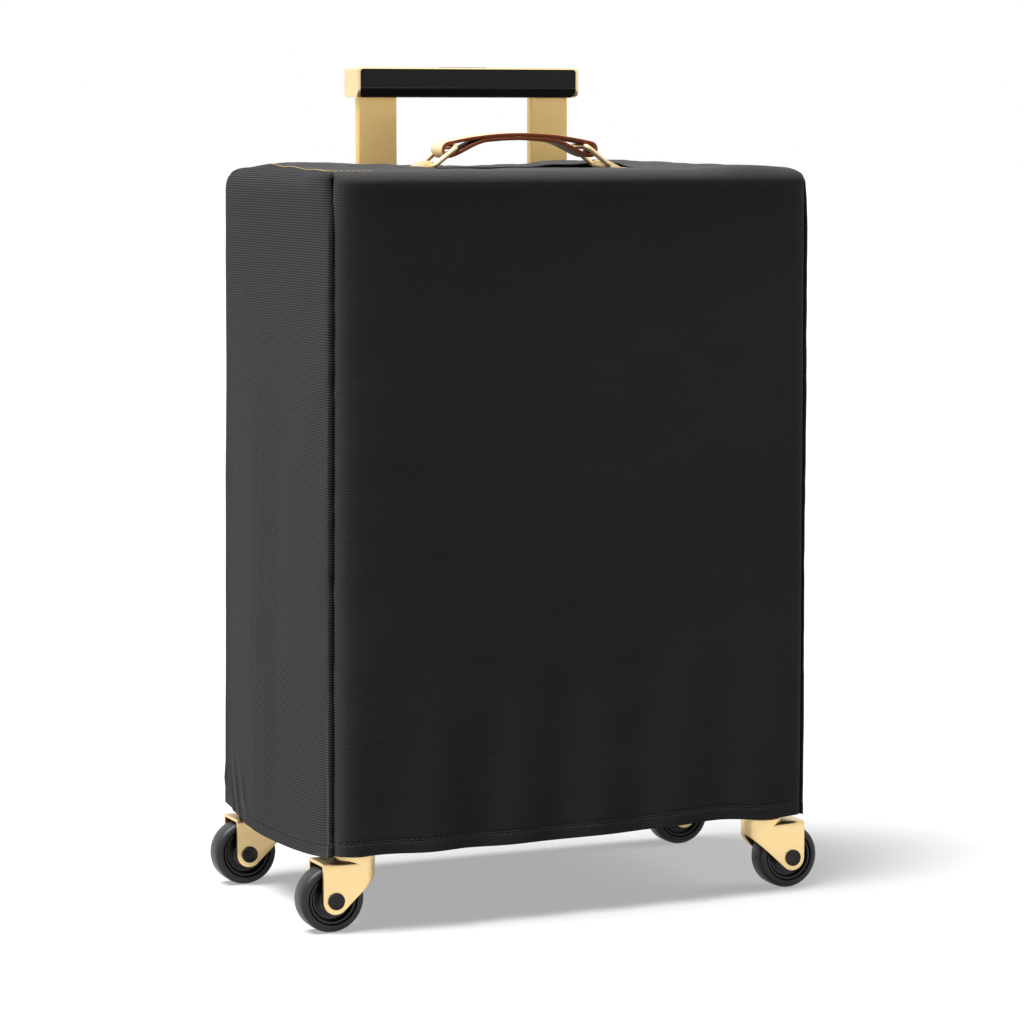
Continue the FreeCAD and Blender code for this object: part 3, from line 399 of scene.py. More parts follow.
# Painted highlight: tan thread for the stitch row that stands in for light caught on the top-left seam.
tan_highlight_thread = speckled("tan_highlight_thread", (0.60, 0.37, 0.13), 0.55, 0.3 * MM, 0.05 * MM)
steel = speckled("zinc_steel", (0.52, 0.52, 0.53), 0.34, 0.4 * MM, 0.01 * MM, metallic=1.0)
mill = speckled("mill_aluminium", (0.66, 0.66, 0.67), 0.38, 0.5 * MM, 0.01 * MM, metallic=1.0)
nylon = speckled("black_nylon", (0.02, 0.02, 0.021), 0.5, 0.5 * MM, 0.02 * MM, gloss=0.2)
tape = woven("zip_tape", (0.010, 0.010, 0.011), (0.022, 0.022, 0.023), 0.9 * MM)
lining = woven("tan_lining", (0.28, 0.22, 0.155), (0.40, 0.32, 0.23), 1.0 * MM)


# Camera and light
LENS_MM = 125.99
CAMERA_YAW = math.radians(24.266)
CAMERA_PITCH = math.radians(6.302)
CAMERA_DISTANCE = 2.7174
CAMERA_HEIGHT = 0.5887
CAMERA_ASIDE = -0.5 * MM
KEY_FROM = Vector((-0.41, -0.031, 1.0))
KEY_POWER = 5.8
KEY_SPREAD = math.radians(34)
AMBIENT = 0.025
FLOOR_GLOW = 0.39
FLOOR_TONE = 0.45
DOME_RADIUS = 30.0
BACK_SPOT = ((0.0, 1.3, 0.42), (0, 0.11, 0.36), 9.0)

# Place, target, size and power of each fill light
FILLS = {
    "left_fill": ((-1.25, -0.45, 1.1), (-0.19, 0, 0.4), 0.6, 1.2),
    "side_fill": ((-0.7, 0.05, 1.15), (-0.19, 0, 0.5), 0.3, 1.5),
    "low_fill": ((0.0, -0.75, 0.02), (0, -0.11, 0.15), 0.5, 0.12),
    "right_fill": ((1.0, -0.15, 0.6), (0.19, -0.1, 0.3), 0.5, 4.0),
}


def add_camera():
    """The photograph's viewpoint: low, from the front and the left."""
    data = bpy.data.cameras.new("camera")
    data.lens = LENS_MM
    data.sensor_width = 36.0
    camera = add_object("camera", data)
    ahead = Vector((math.sin(CAMERA_YAW), math.cos(CAMERA_YAW), 0))
    aside = Vector((math.cos(CAMERA_YAW), -math.sin(CAMERA_YAW), 0))
    camera.location = aside * CAMERA_ASIDE - ahead * CAMERA_DISTANCE + Vector((0, 0, CAMERA_HEIGHT))
    camera.rotation_euler = (math.pi / 2 - CAMERA_PITCH, 0, -CAMERA_YAW)
    bpy.context.scene.camera = camera


def aim(light, place, target):
    """Put a light at a place, turned to a target; it leaves no mirror image."""
    light.location = place
    light.rotation_euler = (Vector(target) - Vector(place)).to_track_quat("-Z", "Y").to_euler()
    light.visible_camera = False
    light.visible_glossy = False


def add_area(name, place, target, size, power):
    """A square soft fill light."""
    data = bpy.data.lights.new(name, "AREA")
    data.size = size
    data.energy = power
    aim(add_object(name, data), place, target)


def add_back_spot(place, target, power):
    """A narrow light for the back panel, which the key doesn't reach; its cone stays off the floor."""
    spot = bpy.data.lights.new("back_spot", "SPOT")
    spot.energy = power
    spot.spot_size = math.radians(30)
    spot.spot_blend = 0.6
    spot.shadow_soft_size = 0.1
    aim(add_object("back_spot", spot), place, target)


def backdrop(name, points, faces, tone, glow):
    """A white stage surface, seen and mirrored, that sends no light into the shadows."""
    white = speckled(f"white_{name}", (tone, tone, tone), 0.9, 4 * MM, 0.0, shift=0.01, gloss=0.0)
    inputs = white.node_tree.nodes["Principled BSDF"].inputs
    inputs["Emission Color"].default_value = (1.0, 1.0, 1.0, 1.0)
    inputs["Emission Strength"].default_value = glow
    stage = solid(name, points, faces, white)
    stage.visible_diffuse = False
    return stage


def add_stage():
    """White floor and dome."""
    reach = 0.9 * DOME_RADIUS
    corners = [(-reach, -reach, 0), (reach, -reach, 0), (reach, reach, 0), (-reach, reach, 0)]
    backdrop("floor", corners, [[0, 1, 2, 3]], FLOOR_TONE, FLOOR_GLOW)
    ball = lathe(arc((0, 0), DOME_RADIUS, -90, 90, 24), (0, 0, 0), 48, closed=False)
    dome = backdrop("dome", *ball, 0.0, 1.0)
    dome.visible_shadow = False


def add_lights():
    """Weak light all round, a broad overhead key from the left, and fills."""
    world = bpy.data.worlds.new("studio")
    world.use_nodes = True
    background = world.node_tree.nodes["Background"]
    background.inputs["Color"].default_value = (1.0, 1.0, 1.0, 1.0)
    background.inputs["Strength"].default_value = AMBIENT
    bpy.context.scene.world = world
    bpy.context.scene.view_settings.view_transform = "Standard"
    key = bpy.data.lights.new("key", "SUN")
    key.energy = KEY_POWER
    key.angle = KEY_SPREAD
    light = add_object("key", key)
    light.rotation_euler = (-KEY_FROM).to_track_quat("-Z", "Y").to_euler()
    for name, fill in FILLS.items():
        add_area(name, *fill)
    add_back_spot(*BACK_SPOT)


# Cover
CLOTH = 0.8 * MM
SIDE_SHOULDER = 18 * MM
FRONT_SHOULDER = 9.5 * MM
BACK_SHOULDER = 8 * MM
TIGHT_SHOULDER = 5 * MM
TIGHT_REACH = (-0.100, -0.030)
EDGE_RADIUS = 4 * MM
EDGE_STEPS = 8
COLUMN_STEP = 6 * MM
CLOSEST_COLUMNS = 0.55 * MM
WALL_ROWS = 80
SEAM_IN = 4.2 * MM
SEAM_SETBACK = {-1: (6.2 * MM, 9.0 * MM), 1: (2.0 * MM, 2.4 * MM)}
FRONT_BULGE = 3.0 * MM
FACE_REACH = 20 * MM
SEAM_GROOVE = 0.9 * MM
FLARE = {-1: (0.0, 2.4 * MM), 1: (1.8 * MM, 3.3 * MM)}
FLARE_REACH = 25 * MM
GATHER_SIZE = 15 * MM
BACK_SLACK = 1.5 * MM
LOW_FOLDS = ((0.062, 0.050), (0.078, 0.062), (0.093, 0.055), (0.104, 0.045))
SAG_Y = 0.020
SAG_LEFT = 10.8 * MM
SAG_RIGHT = 4.0 * MM
SAG_REACH = (0.150, 0.086)
HEM_STEP = 0.14 * MM
HEM_SWAY = 1.7 * MM
SWAY_PITCH = 0.085
SWAY_HEIGHT = 0.16
HEM_BAND = 9.5 * MM
HEM_HEIGHTS = [0, 1.5, 3, 4.5, 6, 7.5, 8.5, 9.2, 9.8, 10.5, 11.5, 13, 16, 20]
SLOT_EASE = 1.6 * MM

# Height, place and width of the waves across the top
TOP_WAVES = ((4.4 * MM, 0.090, 0.060), (3.2 * MM, -0.140, 0.055))

# Distances in mm from a seam or an opening's edge at which columns are set
SEAM_STEPS = [0.9, 1.6, 2.4, 3.5, 5, 7, 10, 14]


def union_box(nodes):
    """Lowest and highest corner of several CAD nodes together."""
    lows, highs = zip(*(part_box(node) for node in nodes))
    return Vector(np.min(lows, axis=0)), Vector(np.max(highs, axis=0))


def stations(half, step, marks):
    """Places from -half to half: about a step apart, closer at marks, which are kept exactly."""
    exact = [mark for mark in marks if abs(mark) < half]
    near = [mark + side * shift * MM for mark in exact for shift in SEAM_STEPS for side in (-1, 1)]
    even = list(np.linspace(-half, half, int(2 * half / step) + 1))
    chosen = [-half, half, *exact]
    for spot in sorted(near) + even:
        if abs(spot) < half and min(abs(spot - other) for other in chosen) > CLOSEST_COLUMNS:
            chosen.append(spot)
    return sorted(chosen)


class CoverShape:
    """The cover's plain form: a girth of columns that rise from the hem over a shoulder to the top."""

    def __init__(self):
        low, high = union_box(COVER_NODES)
        self.half_x = high.x
        self.half_y = high.y
        self.top = high.z
        self.hem = low.z
        self.crown_front = -(self.half_y - FRONT_SHOULDER)
        self.crown_back = self.half_y - BACK_SHOULDER
        self.run_x = self.half_x - EDGE_RADIUS
        self.run_y = self.half_y - EDGE_RADIUS
        self.slots()
        self.plan()
        self.columns()
        self.levels()

    def slots(self):
        """Openings in the top for the carry handle and the trolley: x reach, low y, high y."""
        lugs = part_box("handle_lugs")
        links = union_box(["handle_link_left", "handle_link_right"])
        grip_low, grip_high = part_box("grip_frame")
        self.openings = [(lugs[1].x + SLOT_EASE, links[0].y - SLOT_EASE, links[1].y + SLOT_EASE),
                         (grip_high.x + SLOT_EASE, grip_low.y - SLOT_EASE, self.crown_back)]

    def to_top(self, x, y):
        """Where the columns at those places of the girth reach the top."""
        share = (y + self.run_y) / (2 * self.run_y)
        top_y = self.crown_front + share * (self.crown_back - self.crown_front)
        return np.column_stack([x * (self.half_x - side_shoulder(x, top_y)) / self.run_x, top_y])

    def plan(self):
        """Places of the columns across the front and along the sides, close at seams and openings."""
        spread = self.run_x / (self.half_x - SIDE_SHOULDER)
        marks = [opening[0] * spread for opening in self.openings]
        marks.append(self.half_x - SEAM_IN)
        marks_x = [side * mark for mark in marks for side in (-1, 1)]
        span = self.crown_back - self.crown_front
        marks_y = [(y - self.crown_front) / span * 2 * self.run_y - self.run_y
                   for _, low, high in self.openings for y in (low, high)]
        self.across = stations(self.run_x, COLUMN_STEP, marks_x)
        self.along = stations(self.run_y, COLUMN_STEP, marks_y)

    def columns(self):
        """Base point, top point, outward normal and shoulder of each column, round the girth."""
        sides = [((0, -1), [(x, -self.run_y) for x in self.across]),
                 ((1, 0), [(self.run_x, y) for y in self.along]),
                 ((0, 1), [(x, self.run_y) for x in self.across[::-1]]),
                 ((-1, 0), [(-self.run_x, y) for y in self.along[::-1]])]
        turns = [math.pi / 2 * step / EDGE_STEPS for step in range(1, EDGE_STEPS)]
        places, normals = [], []
        for number, (normal, spots) in enumerate(sides):
            places += spots + spots[-1:] * len(turns)
            here, after = np.array(normal), np.array(sides[(number + 1) % 4][0])
            normals += [here] * len(spots)
            normals += [here * math.cos(turn) + after * math.sin(turn) for turn in turns]
        x, y = np.array(places).T
        self.normal = np.array(normals)
        self.base = np.array(places) + EDGE_RADIUS * self.normal
        self.crown = self.to_top(x, y)
        face = np.where(y < 0, FRONT_SHOULDER, BACK_SHOULDER)
        sideways = np.arctan2(*np.abs(self.normal.T)) / (math.pi / 2)
        self.shoulder = face + (side_shoulder(x, self.crown[:, 1]) - face) * smooth_step(sideways, 0, 1)
        steps = np.linalg.norm(np.roll(self.base, -1, axis=0) - self.base, axis=1)
        self.girth = np.concatenate([[0.0], np.cumsum(steps)])

    def levels(self):
        """Heights up the wall as shares of it, closer at the hem, and angles over the shoulder."""
        wall = self.top - SIDE_SHOULDER - self.hem
        low = [height * MM / wall for height in HEM_HEIGHTS]
        self.shares = low + list(np.linspace(low[-1], 1.0, WALL_ROWS)[1:])
        self.angles = [math.radians(angle) for angle in range(9, 91, 9)]

    def mesh(self):
        """Points, outward normals, faces and weave places of the plain form."""
        points, normals, climb = [], [], []
        wall = self.top - self.shoulder - self.hem
        for share in self.shares:
            points.append(np.column_stack([self.base, self.hem + share * wall]))
            normals.append(np.column_stack([self.normal, 0 * wall]))
            climb.append(share * wall)
        for angle in self.angles:
            plan = self.base + (self.crown - self.base) * (1 - math.cos(angle))
            points.append(np.column_stack([plan, self.top - self.shoulder * (1 - math.sin(angle))]))
            normals.append(np.column_stack([self.normal * math.cos(angle), 0 * wall + math.sin(angle)]))
            climb.append(wall + self.shoulder * angle)
        rows, columns = len(points), len(self.base)
        faces = grid_faces(rows, columns, closed_columns=True)
        climb = np.concatenate(climb)
        on_side = self.normal[:, 0] != 0
        marks = SIDE_MARK * (on_side | np.roll(on_side, -1))
        weave = []
        for number, face in enumerate(faces):
            column = number % columns
            left, right = self.girth[column:column + 2]
            weave += zip((left, right, right, left), marks[column] + climb[face])
        top_points, top_faces, top_weave = self.lid()
        faces += [[index + rows * columns for index in face] for face in top_faces]
        points = np.vstack([*points, top_points])
        normals = np.vstack([*normals, np.tile((0, 0, 1), (len(top_points), 1))])
        return points, normals, faces, weave + top_weave

    def lid(self):
        """The flat top inside the shoulders, without its openings."""
        x, y = np.meshgrid(self.across, self.along)
        points = np.column_stack([self.to_top(x.ravel(), y.ravel()), np.full(x.size, self.top)])
        faces, weave = [], []
        for face in grid_faces(*x.shape):
            middle = points[face].mean(axis=0)
            if any(abs(middle[0]) < reach and low < middle[1] < high for reach, low, high in self.openings):
                continue
            faces.append(face)
            weave += [*points[face, :2]]
        return points, faces, weave


def bell(distance, width):
    """A smooth bump of height 1 that fades over a width."""
    return np.exp(-(distance / width) ** 2)


def smooth_step(value, start, end):
    """0 before start, 1 after end, smooth between."""
    share = np.clip((value - start) / (end - start), 0, 1)
    return share * share * (3 - 2 * share)


def side_shoulder(x, y):
    """Radius of the cover's shoulder over its sides; the left one, where x < 0, is tight at its front end."""
    left = TIGHT_SHOULDER + (SIDE_SHOULDER - TIGHT_SHOULDER) * smooth_step(y, *TIGHT_REACH)
    return np.where(x < 0, left, SIDE_SHOULDER)


def wobble(points, size, seed):
    """Gentle noise from -1 to 1 with features of that size."""
    shift = Vector((seed, 2 * seed, 3 * seed))
    return np.array([noise.noise(Vector(point) / size + shift) for point in points])


def hang(shape, points, normals):
    """How the cloth leaves its plain form: seams drawn in, folds, a loose hem and a wavy top."""
    x, y, z = points.T
    front, back = (np.clip(side * normals[:, 1], 0, 1) for side in (-1, 1))
    left, right = (np.clip(side * normals[:, 0], 0, 1) for side in (-1, 1))
    flat_top = np.clip(normals[:, 2], 0, 1) ** 2
    wall = 1 - flat_top
    above_hem = z - shape.hem
    height = above_hem / (shape.top - shape.hem)
    loose = (1 - height) * wall

    outward, flare, setback = draw_seams(shape, points, np.maximum(front, back), wall, height)
    outward += wall * HEM_STEP * smooth_step(-above_hem, -HEM_BAND, -HEM_BAND + 1.2 * MM)
    hem_line = wall * (1 - 0.6 * (left + right))
    outward -= hem_line * 0.2 * MM * bell(above_hem - HEM_BAND, 1.1 * MM)
    outward += back * BACK_SLACK * loose
    outward += wall * 0.9 * MM * wobble(points, 0.16, 1.0) * (0.4 + loose)
    outward += wall * 0.25 * MM * wobble(points, 0.035, 4.0)
    sway = np.sin(math.tau * (x + 0.04 * np.sin(9 * x)) / SWAY_PITCH)
    outward += front * HEM_SWAY * sway * smooth_step(-above_hem, -SWAY_HEIGHT, 0.0)
    outward += left * fold_left(y, above_hem, height)

    low = smooth_step(-height, -0.30, 0.0)
    half_length = np.where(y < SAG_Y, *SAG_REACH)
    sag = np.clip(1 - ((y - SAG_Y) / half_length) ** 2, 0, 1)
    front_edge = -1.2 * MM + 1.2 * MM * smooth_step(x, -0.05, 0.06) + 2.6 * MM * bell(x - 0.108, 0.040)
    rise = front * low * (front_edge + 0.25 * MM * np.sin(math.tau * x / 0.055))
    rise -= (left * SAG_LEFT + right * SAG_RIGHT) * low * sag
    rise += flat_top * raise_top(points)
    moved = points + normals * outward[:, None]
    return moved + np.column_stack([flare, setback, rise])


def draw_seams(shape, points, faces, wall, height):
    """Moves outward, sideways and back at the upright seams, with the front panel bulging between them."""
    x, y, z = points.T
    outward = np.zeros(len(points))
    flare = np.zeros(len(points))
    middle = np.ones(len(points))
    near_front = np.exp(-(y + shape.half_y) / FACE_REACH)
    near_back = np.exp(-(shape.half_y - y) / FACE_REACH)
    bulge = FRONT_BULGE * (1 + 0.9 * (1 - height) * smooth_step(-height, -0.9, -0.6))
    setback = -bulge * near_front
    on_panel = faces * (np.abs(y) > shape.crown_back * 0.9)
    pucker = wobble(np.column_stack([0 * z, 0 * z, z]), GATHER_SIZE, 7.3)
    gathers = np.clip(1.6 * pucker + 0.1, 0, 1)
    pinch = 1.8 * bell(shape.top - z - 14 * MM, 8 * MM)
    for side, (upper, lower) in SEAM_SETBACK.items():
        depth = upper + (lower - upper) * (1 - height)
        inside = shape.half_x - SEAM_IN - side * x
        away = np.maximum(inside, 0)
        reach = (12 + 4 * (1 - height)) * MM
        fade = 0.35 * np.exp(-away / (2.5 * MM)) + 0.65 * np.exp(-away / reach)
        setback += (depth + bulge) * fade * near_front
        setback -= (0.5 + 5.0 * height) * MM * np.exp(-away / (10 * MM)) * near_back
        tight, wide = FLARE[side]
        flare += side * wall * (tight + (wide - tight) * (1 - height)) * np.exp(-away / FLARE_REACH)
        middle -= fade
        outward -= SEAM_GROOVE * on_panel * np.clip(1 - np.abs(inside) / SEAM_GROOVE, 0, 1)
        beside = wall * (inside < 0) * bell(y + shape.half_y, 8 * MM)
        outward -= 0.24 * upper * beside * (0.7 * gathers + pinch)
    puffed = 2.2 * MM * np.exp(-(shape.top - z) / (30 * MM))
    return outward, flare, setback - puffed * near_front * middle


def fold_left(y, above_hem, height):
    """Height of the left panel's crease and of the slanting folds at its lower back corner."""
    crease = 0.040 + 0.012 * (1 - height)
    folds = 1.3 * MM * np.clip(1 - np.abs(y - crease) / 0.05, 0, 1) * smooth_step(-height, -0.85, -0.5)
    for foot, length in LOW_FOLDS:
        line = y - (foot + 0.42 * above_hem)
        folds += 1.0 * MM * bell(line, 2.6 * MM) * smooth_step(-above_hem, -length, -0.35 * length)
    return folds


def raise_top(points):
    """How far the top panel lifts off the case: waves behind the carry handle, wrinkles before it."""
    x, y, _ = points.T
    behind = smooth_step(y, -0.020, 0.035)
    wave = sum(height * bell(x - place, width) for height, place, width in TOP_WAVES)
    ripple = 1.3 * MM * wobble(points, 0.024, 7.0) + 0.6 * MM * np.sin(math.tau * (x + 0.6 * y) / 0.037)
    lifted = behind * (wave + np.maximum(ripple, -wave) + 0.6 * MM)
    lifted += (1 - behind) * 0.9 * MM * np.maximum(wobble(points, 0.022, 9.0), -0.4)
    lifted += 1.8 * MM * bell(x + 0.096, 0.014) * bell(y + 0.040, 0.022)
    far = 0.052 + 0.028 * smooth_step(np.abs(x), 0.098, 0.125)
    within = smooth_step(y, -0.102, -0.078) * smooth_step(far - y, -0.025, 0.0)
    within *= smooth_step(-x, -0.172, -0.150) * smooth_step(x, -0.192, -0.168)
    puff = 2.6 * MM * bell(x - 0.145, 0.030) * smooth_step(-y, -0.05, 0.04)
    return lifted * within + puff


def make_cover():
    """One continuous cloth sheet with thickness, hung over the case."""
    shape = CoverShape()
    points, normals, faces, weave = shape.mesh()
    hung = hang(shape, points, normals)
    cover = solid("cover_cloth", hung, faces, cloth, sharp=80)
    layer = cover.data.uv_layers.new(name="weave")
    layer.data.foreach_set("uv", np.array(weave, dtype=np.float32).ravel())
    weld = cover.modifiers.new("weld", "WELD")
    weld.merge_threshold = 0.05 * MM
    body = cover.modifiers.new("cloth", "SOLIDIFY")
    body.thickness = CLOTH
    body.offset = -1.0
    settle(cover, sharp=80)
    dress(cover, "cover", "cover_cloth", *COVER_NODES)
    openings = sum(2 * reach * (high - low) for reach, low, high in shape.openings)
    bunch(cover)
    sew_cover(shape, hung, normals)


STITCH = 3.0 * MM
STITCH_PITCH = 4.2 * MM
THREAD = 0.28 * MM


def sew_cover(shape, hung, normals):
    """Dark stitches above the hem, and a tan row along the top's left edge and round its front corner, whose
    colour is a painted highlight of the light caught along that seam.
    """
    columns = len(shape.base)
    hem_row = HEM_HEIGHTS.index(9.8)
    hem = slice(hem_row * columns, (hem_row + 1) * columns)
    sew("hem_stitches", hung[hem], normals[hem], thread_black)
    crown_row = len(shape.shares) + len(shape.angles) - 1
    ring = np.roll(np.arange(crown_row * columns, (crown_row + 1) * columns), columns // 4)
    x, y, _ = hung[ring].T
    left_edge = ring[(x < -0.150) & (y < 0.085)]
    # The tan row is a painted highlight of the light caught along the top-left seam.
    sew("top_highlight_stitches", hung[left_edge], normals[left_edge], tan_highlight_thread)


def sew(name, route, lifts, material):
    """A row of stitches along a route on the cloth; each dives in at its ends."""
    steps = np.linalg.norm(np.diff(route, axis=0), axis=1)
    lengths = np.concatenate([[0.0], np.cumsum(steps)])
    shares = np.linspace(0, 1, 7)
    turns = [math.tau * turn / 6 for turn in range(6)]
    ends = [list(range(6))[::-1], list(range(36, 42))]
    tube = grid_faces(7, 6, closed_columns=True) + ends
    parts = []
    for start in np.arange(STITCH_PITCH, lengths[-1] - STITCH_PITCH, STITCH_PITCH):
        spots, ups = (np.column_stack([np.interp(start + STITCH * shares, lengths, line[:, axis])
                                       for axis in range(3)]) for line in (route, lifts))
        along = spots[-1] - spots[0]
        across = np.cross(along / np.linalg.norm(along), ups[3])
        points = []
        for share, spot, up in zip(shares, spots, ups):
            middle = spot + up * THREAD * (1.7 * math.sin(math.pi * share) - 0.8)
            points += [middle + THREAD * (math.cos(turn) * across + math.sin(turn) * up) for turn in turns]
        parts.append((points, tube))
    stitches = solid(name, *merge(parts), material)
    dress(stitches, "cover", "cover_cloth")
    bunch(stitches)


def bunch(piece):
    """Give a piece its own copy of its mesh."""
    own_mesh(piece)


# Trolley
def make_legs():
    """Flat tubes with rounded edges, a hair short of the release bar that comes down on them."""
    for name in SIDES:
        low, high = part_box(f"trolley_leg_{name}")
        wall = 1.5 * MM
        top = high.z - 0.05 * MM
        outside = rounded_box(low, high, 1.6 * MM)
        inside = rounded_box((low.x + wall, low.y + wall), (high.x - wall, high.y - wall), 0.4 * MM)
        loops = [(outside, low.z), (outside, top), (inside, top), (inside, low.z)]
        points = [(a, b, z) for ring, z in loops for a, b in ring]
        faces = grid_faces(len(loops), len(outside), closed_rows=True, closed_columns=True)
        leg = solid(f"leg_{name}", points, faces, leg_gold)
        dress(leg, "trolley", "gold_aluminium", f"trolley_leg_{name}")


def boolean(obj, tool, operation):
    """Cut one object by another, which is then removed."""
    fix_normals(obj.data)
    fix_normals(tool.data)
    step = obj.modifiers.new("cut", "BOOLEAN")
    step.operation = operation
    step.object = tool
    step.solver = "EXACT"
    settle(obj)
    bpy.data.objects.remove(tool)


def upright(name, corners, near, far):
    """A block with that rounded front outline (x, z, radius), from a near to a far depth, to cut with."""
    return solid(name, *prism(rounded(corners), lambda a, b, c: (a, c, b), near, far))


def make_grip():
    """Gold bar with a black insert in its front."""
    low, high = union_box(["grip_frame", "grip_pad"])
    pad_low, pad_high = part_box("grip_pad")
    slope = 5 * MM
    crease = 7 * MM
    rest = [(high.y, low.z, 2.5 * MM), (high.y, high.z, 2.5 * MM), (low.y, high.z, 2.5 * MM)]
    round_front = rounded([*rest, (low.y, low.z, 6.5 * MM)])
    lip = 0.8 * MM
    creased_front = rounded([*rest[:2], (low.y + lip, high.z, 2.5 * MM),
                             (low.y + lip, low.z + crease + lip, 0.2 * MM),
                             (low.y, low.z + crease, 0.3 * MM), (low.y + slope, low.z, 2.5 * MM)])
    ends = [(low.x, low.z, 2.0 * MM), (high.x, low.z, 2.0 * MM), (high.x, high.z, 3.0 * MM),
            (low.x, high.z, 3.0 * MM)]
    floor_z = low.z - 0.02 * MM
    seat = [(pad_low.x, floor_z, 4.0 * MM), (pad_high.x, floor_z, 4.0 * MM),
            (pad_high.x, pad_high.z, 2.5 * MM), (pad_low.x, pad_high.z, 2.5 * MM)]
    near = low.y - 10 * MM
    for piece, node, slot, outline, material, operation, soft in (
            ("grip_bar", "grip_frame", "gold_aluminium", round_front, gold, "DIFFERENCE", 0.7 * MM),
            ("grip_insert", "grip_pad", "grip_black", creased_front, grip_black, "INTERSECT", 0.9 * MM)):
        bar = solid(piece, *prism(outline, lambda a, b, c: (c, a, b), low.x, high.x), material)
        boolean(bar, upright("ends", ends, near, high.y + 10 * MM), "INTERSECT")
        boolean(bar, upright("seat", seat, near, pad_high.y), operation)
        soften(bar, soft, angle=40)
        dress(bar, "trolley", slot, node)


def make_button():
    """The long round-ended button on the grip."""
    low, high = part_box("release_button")
    face = rounded_box(low, high, (high.y - low.y) / 2 - 0.2 * MM)
    block = prism(face, lambda a, b, c: (a, b, c), low.z, high.z)
    button = soften(solid("push_button", *block, grip_black), 0.35 * MM)
    dress(button, "release", "grip_black", "release_button")


# Carry handle
STRAP_LAYER = 2.7 * MM
STRAP_RADIUS = 277 * MM
STRAP_RISE = 0.4 * MM
LAYER_GAP = 0.1 * MM
LOOP_HEIGHT = 12.2 * MM
LOOP_CLOSES = (math.radians(5.6), math.radians(12.6))
STRAP_SHORTER = 1.2 * MM
WIRE = 2.0 * MM
LINK_BEND = 3.2 * MM


def make_strap():
    """A leather strip folded round the bar at each end and back under itself."""
    low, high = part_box("handle_strap")
    centre_z = high.z + STRAP_RISE - STRAP_RADIUS
    outer = STRAP_RADIUS - STRAP_LAYER / 2
    under = outer - STRAP_LAYER - LAYER_GAP
    wrap = (LOOP_HEIGHT - STRAP_LAYER) / 2
    middle = outer - wrap
    end_angle = math.asin((high.x - STRAP_SHORTER - wrap - STRAP_LAYER / 2) / middle)
    angles = np.linspace(-end_angle, end_angle, 90)
    opened = smooth_step(np.abs(angles), *LOOP_CLOSES) / smooth_step(end_angle, *LOOP_CLOSES)
    lower = under + opened * (outer - 2 * wrap - under)
    top_layer, low_layer = ([*zip(radius * np.sin(angles), radius * np.cos(angles))]
                            for radius in (outer, lower))
    path = top_layer + wrap_round(middle, wrap, end_angle, 1)
    path += low_layer[::-1] + wrap_round(middle, wrap, end_angle, -1)
    spots = np.array([(x, (low.y + high.y) / 2, z + centre_z) for x, z in path])
    half = (high.y - low.y) / 2
    thick = STRAP_LAYER / 2
    edge = 0.5 * MM
    steps = 3
    section = rounded_box((-half, -thick), (half, thick), edge, steps)
    strap = solid("carry_strap", *sweep(spots, (0, 1, 0), section), leather, edge_brown, sharp=50)
    inner_side = 3 * (steps + 1) - 1
    for face in strap.data.polygons:
        if abs(face.normal.y) > 0.5 or face.index % len(section) == inner_side:
            face.material_index = 1
    dress(strap, "strap", "leather", "handle_strap")


def wrap_round(middle, wrap, end_angle, side, steps=18):
    """The strip's path round one end, from its upper to its lower layer, or back on the left."""
    centre = (side * middle * math.sin(end_angle), middle * math.cos(end_angle))
    start = side * (90 - math.degrees(end_angle))
    return arc(centre, wrap, start, start - 180, steps)[1:-1]


def make_links():
    """Closed wire loops between the lugs and the strap."""
    for name, side in SIDES.items():
        low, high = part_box(f"handle_link_{name}")
        middle = (low.y + high.y) / 2
        near_x, far_x = sorted((abs(low.x), abs(high.x)))
        pivot = Vector((side * (far_x - WIRE), middle, low.z + WIRE))
        bar = Vector((side * (near_x + WIRE), middle, high.z - WIRE))
        along = (bar - pivot).normalized()
        length = (bar - pivot).length
        half = (high.y - low.y) / 2 - WIRE
        outline = rounded_box((0, -half), (length, half), LINK_BEND, 8)
        spots = np.array([pivot + along * a + Vector((0, b, 0)) for a, b in outline])
        circle = arc((0, 0), WIRE, 0, 342, 19)
        link = solid(f"wire_link_{name}", *sweep(spots, along.cross(Vector((0, 1, 0))), circle), gold)
        dress(link, f"link_{name}", "gold_steel", f"handle_link_{name}")


def make_lugs():
    """Wedge plates with a round knuckle where the wire passes."""
    low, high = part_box("handle_lugs")
    link_low, link_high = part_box("handle_link_right")
    pivot_x = link_high.x - WIRE
    pivot_z = link_low.z + WIRE
    knuckle = high.z - pivot_z
    parts = []
    for side in SIDES.values():
        outline = [(pivot_x - knuckle, low.z), *arc((pivot_x, pivot_z), knuckle, 180, 65, 14)]
        outline += [(high.x - 8.0 * MM, low.z + 1.2 * MM), (high.x - 0.5 * MM, low.z + 1.1 * MM)]
        outline += [(high.x, low.z + 0.6 * MM), (high.x, low.z)]
        more, sides = prism([(side * a, b) for a, b in outline], lambda a, b, c: (a, c, b), low.y, high.y)
        if side < 0:
            sides = [face[::-1] for face in sides]
        parts.append((more, sides))
    lugs = soften(solid("lug_plates", *merge(parts), gold), 0.7 * MM, angle=40)
    dress(lugs, "case", "gold_steel", "handle_lugs")


# Casters
FORK_WALL = 2.5 * MM
FORK_FOLD = 3.2 * MM
RAKE_DEGREES = 47.7
SWIVEL_GAP = 0.2 * MM
CHEEK_ROUND = 9.8 * MM
CHEEK_STEPS = 5
NOSE_FLAT = 0.1 * MM
BEARING_BORE = 4.0 * MM
HUB_RADIUS = 18.5 * MM


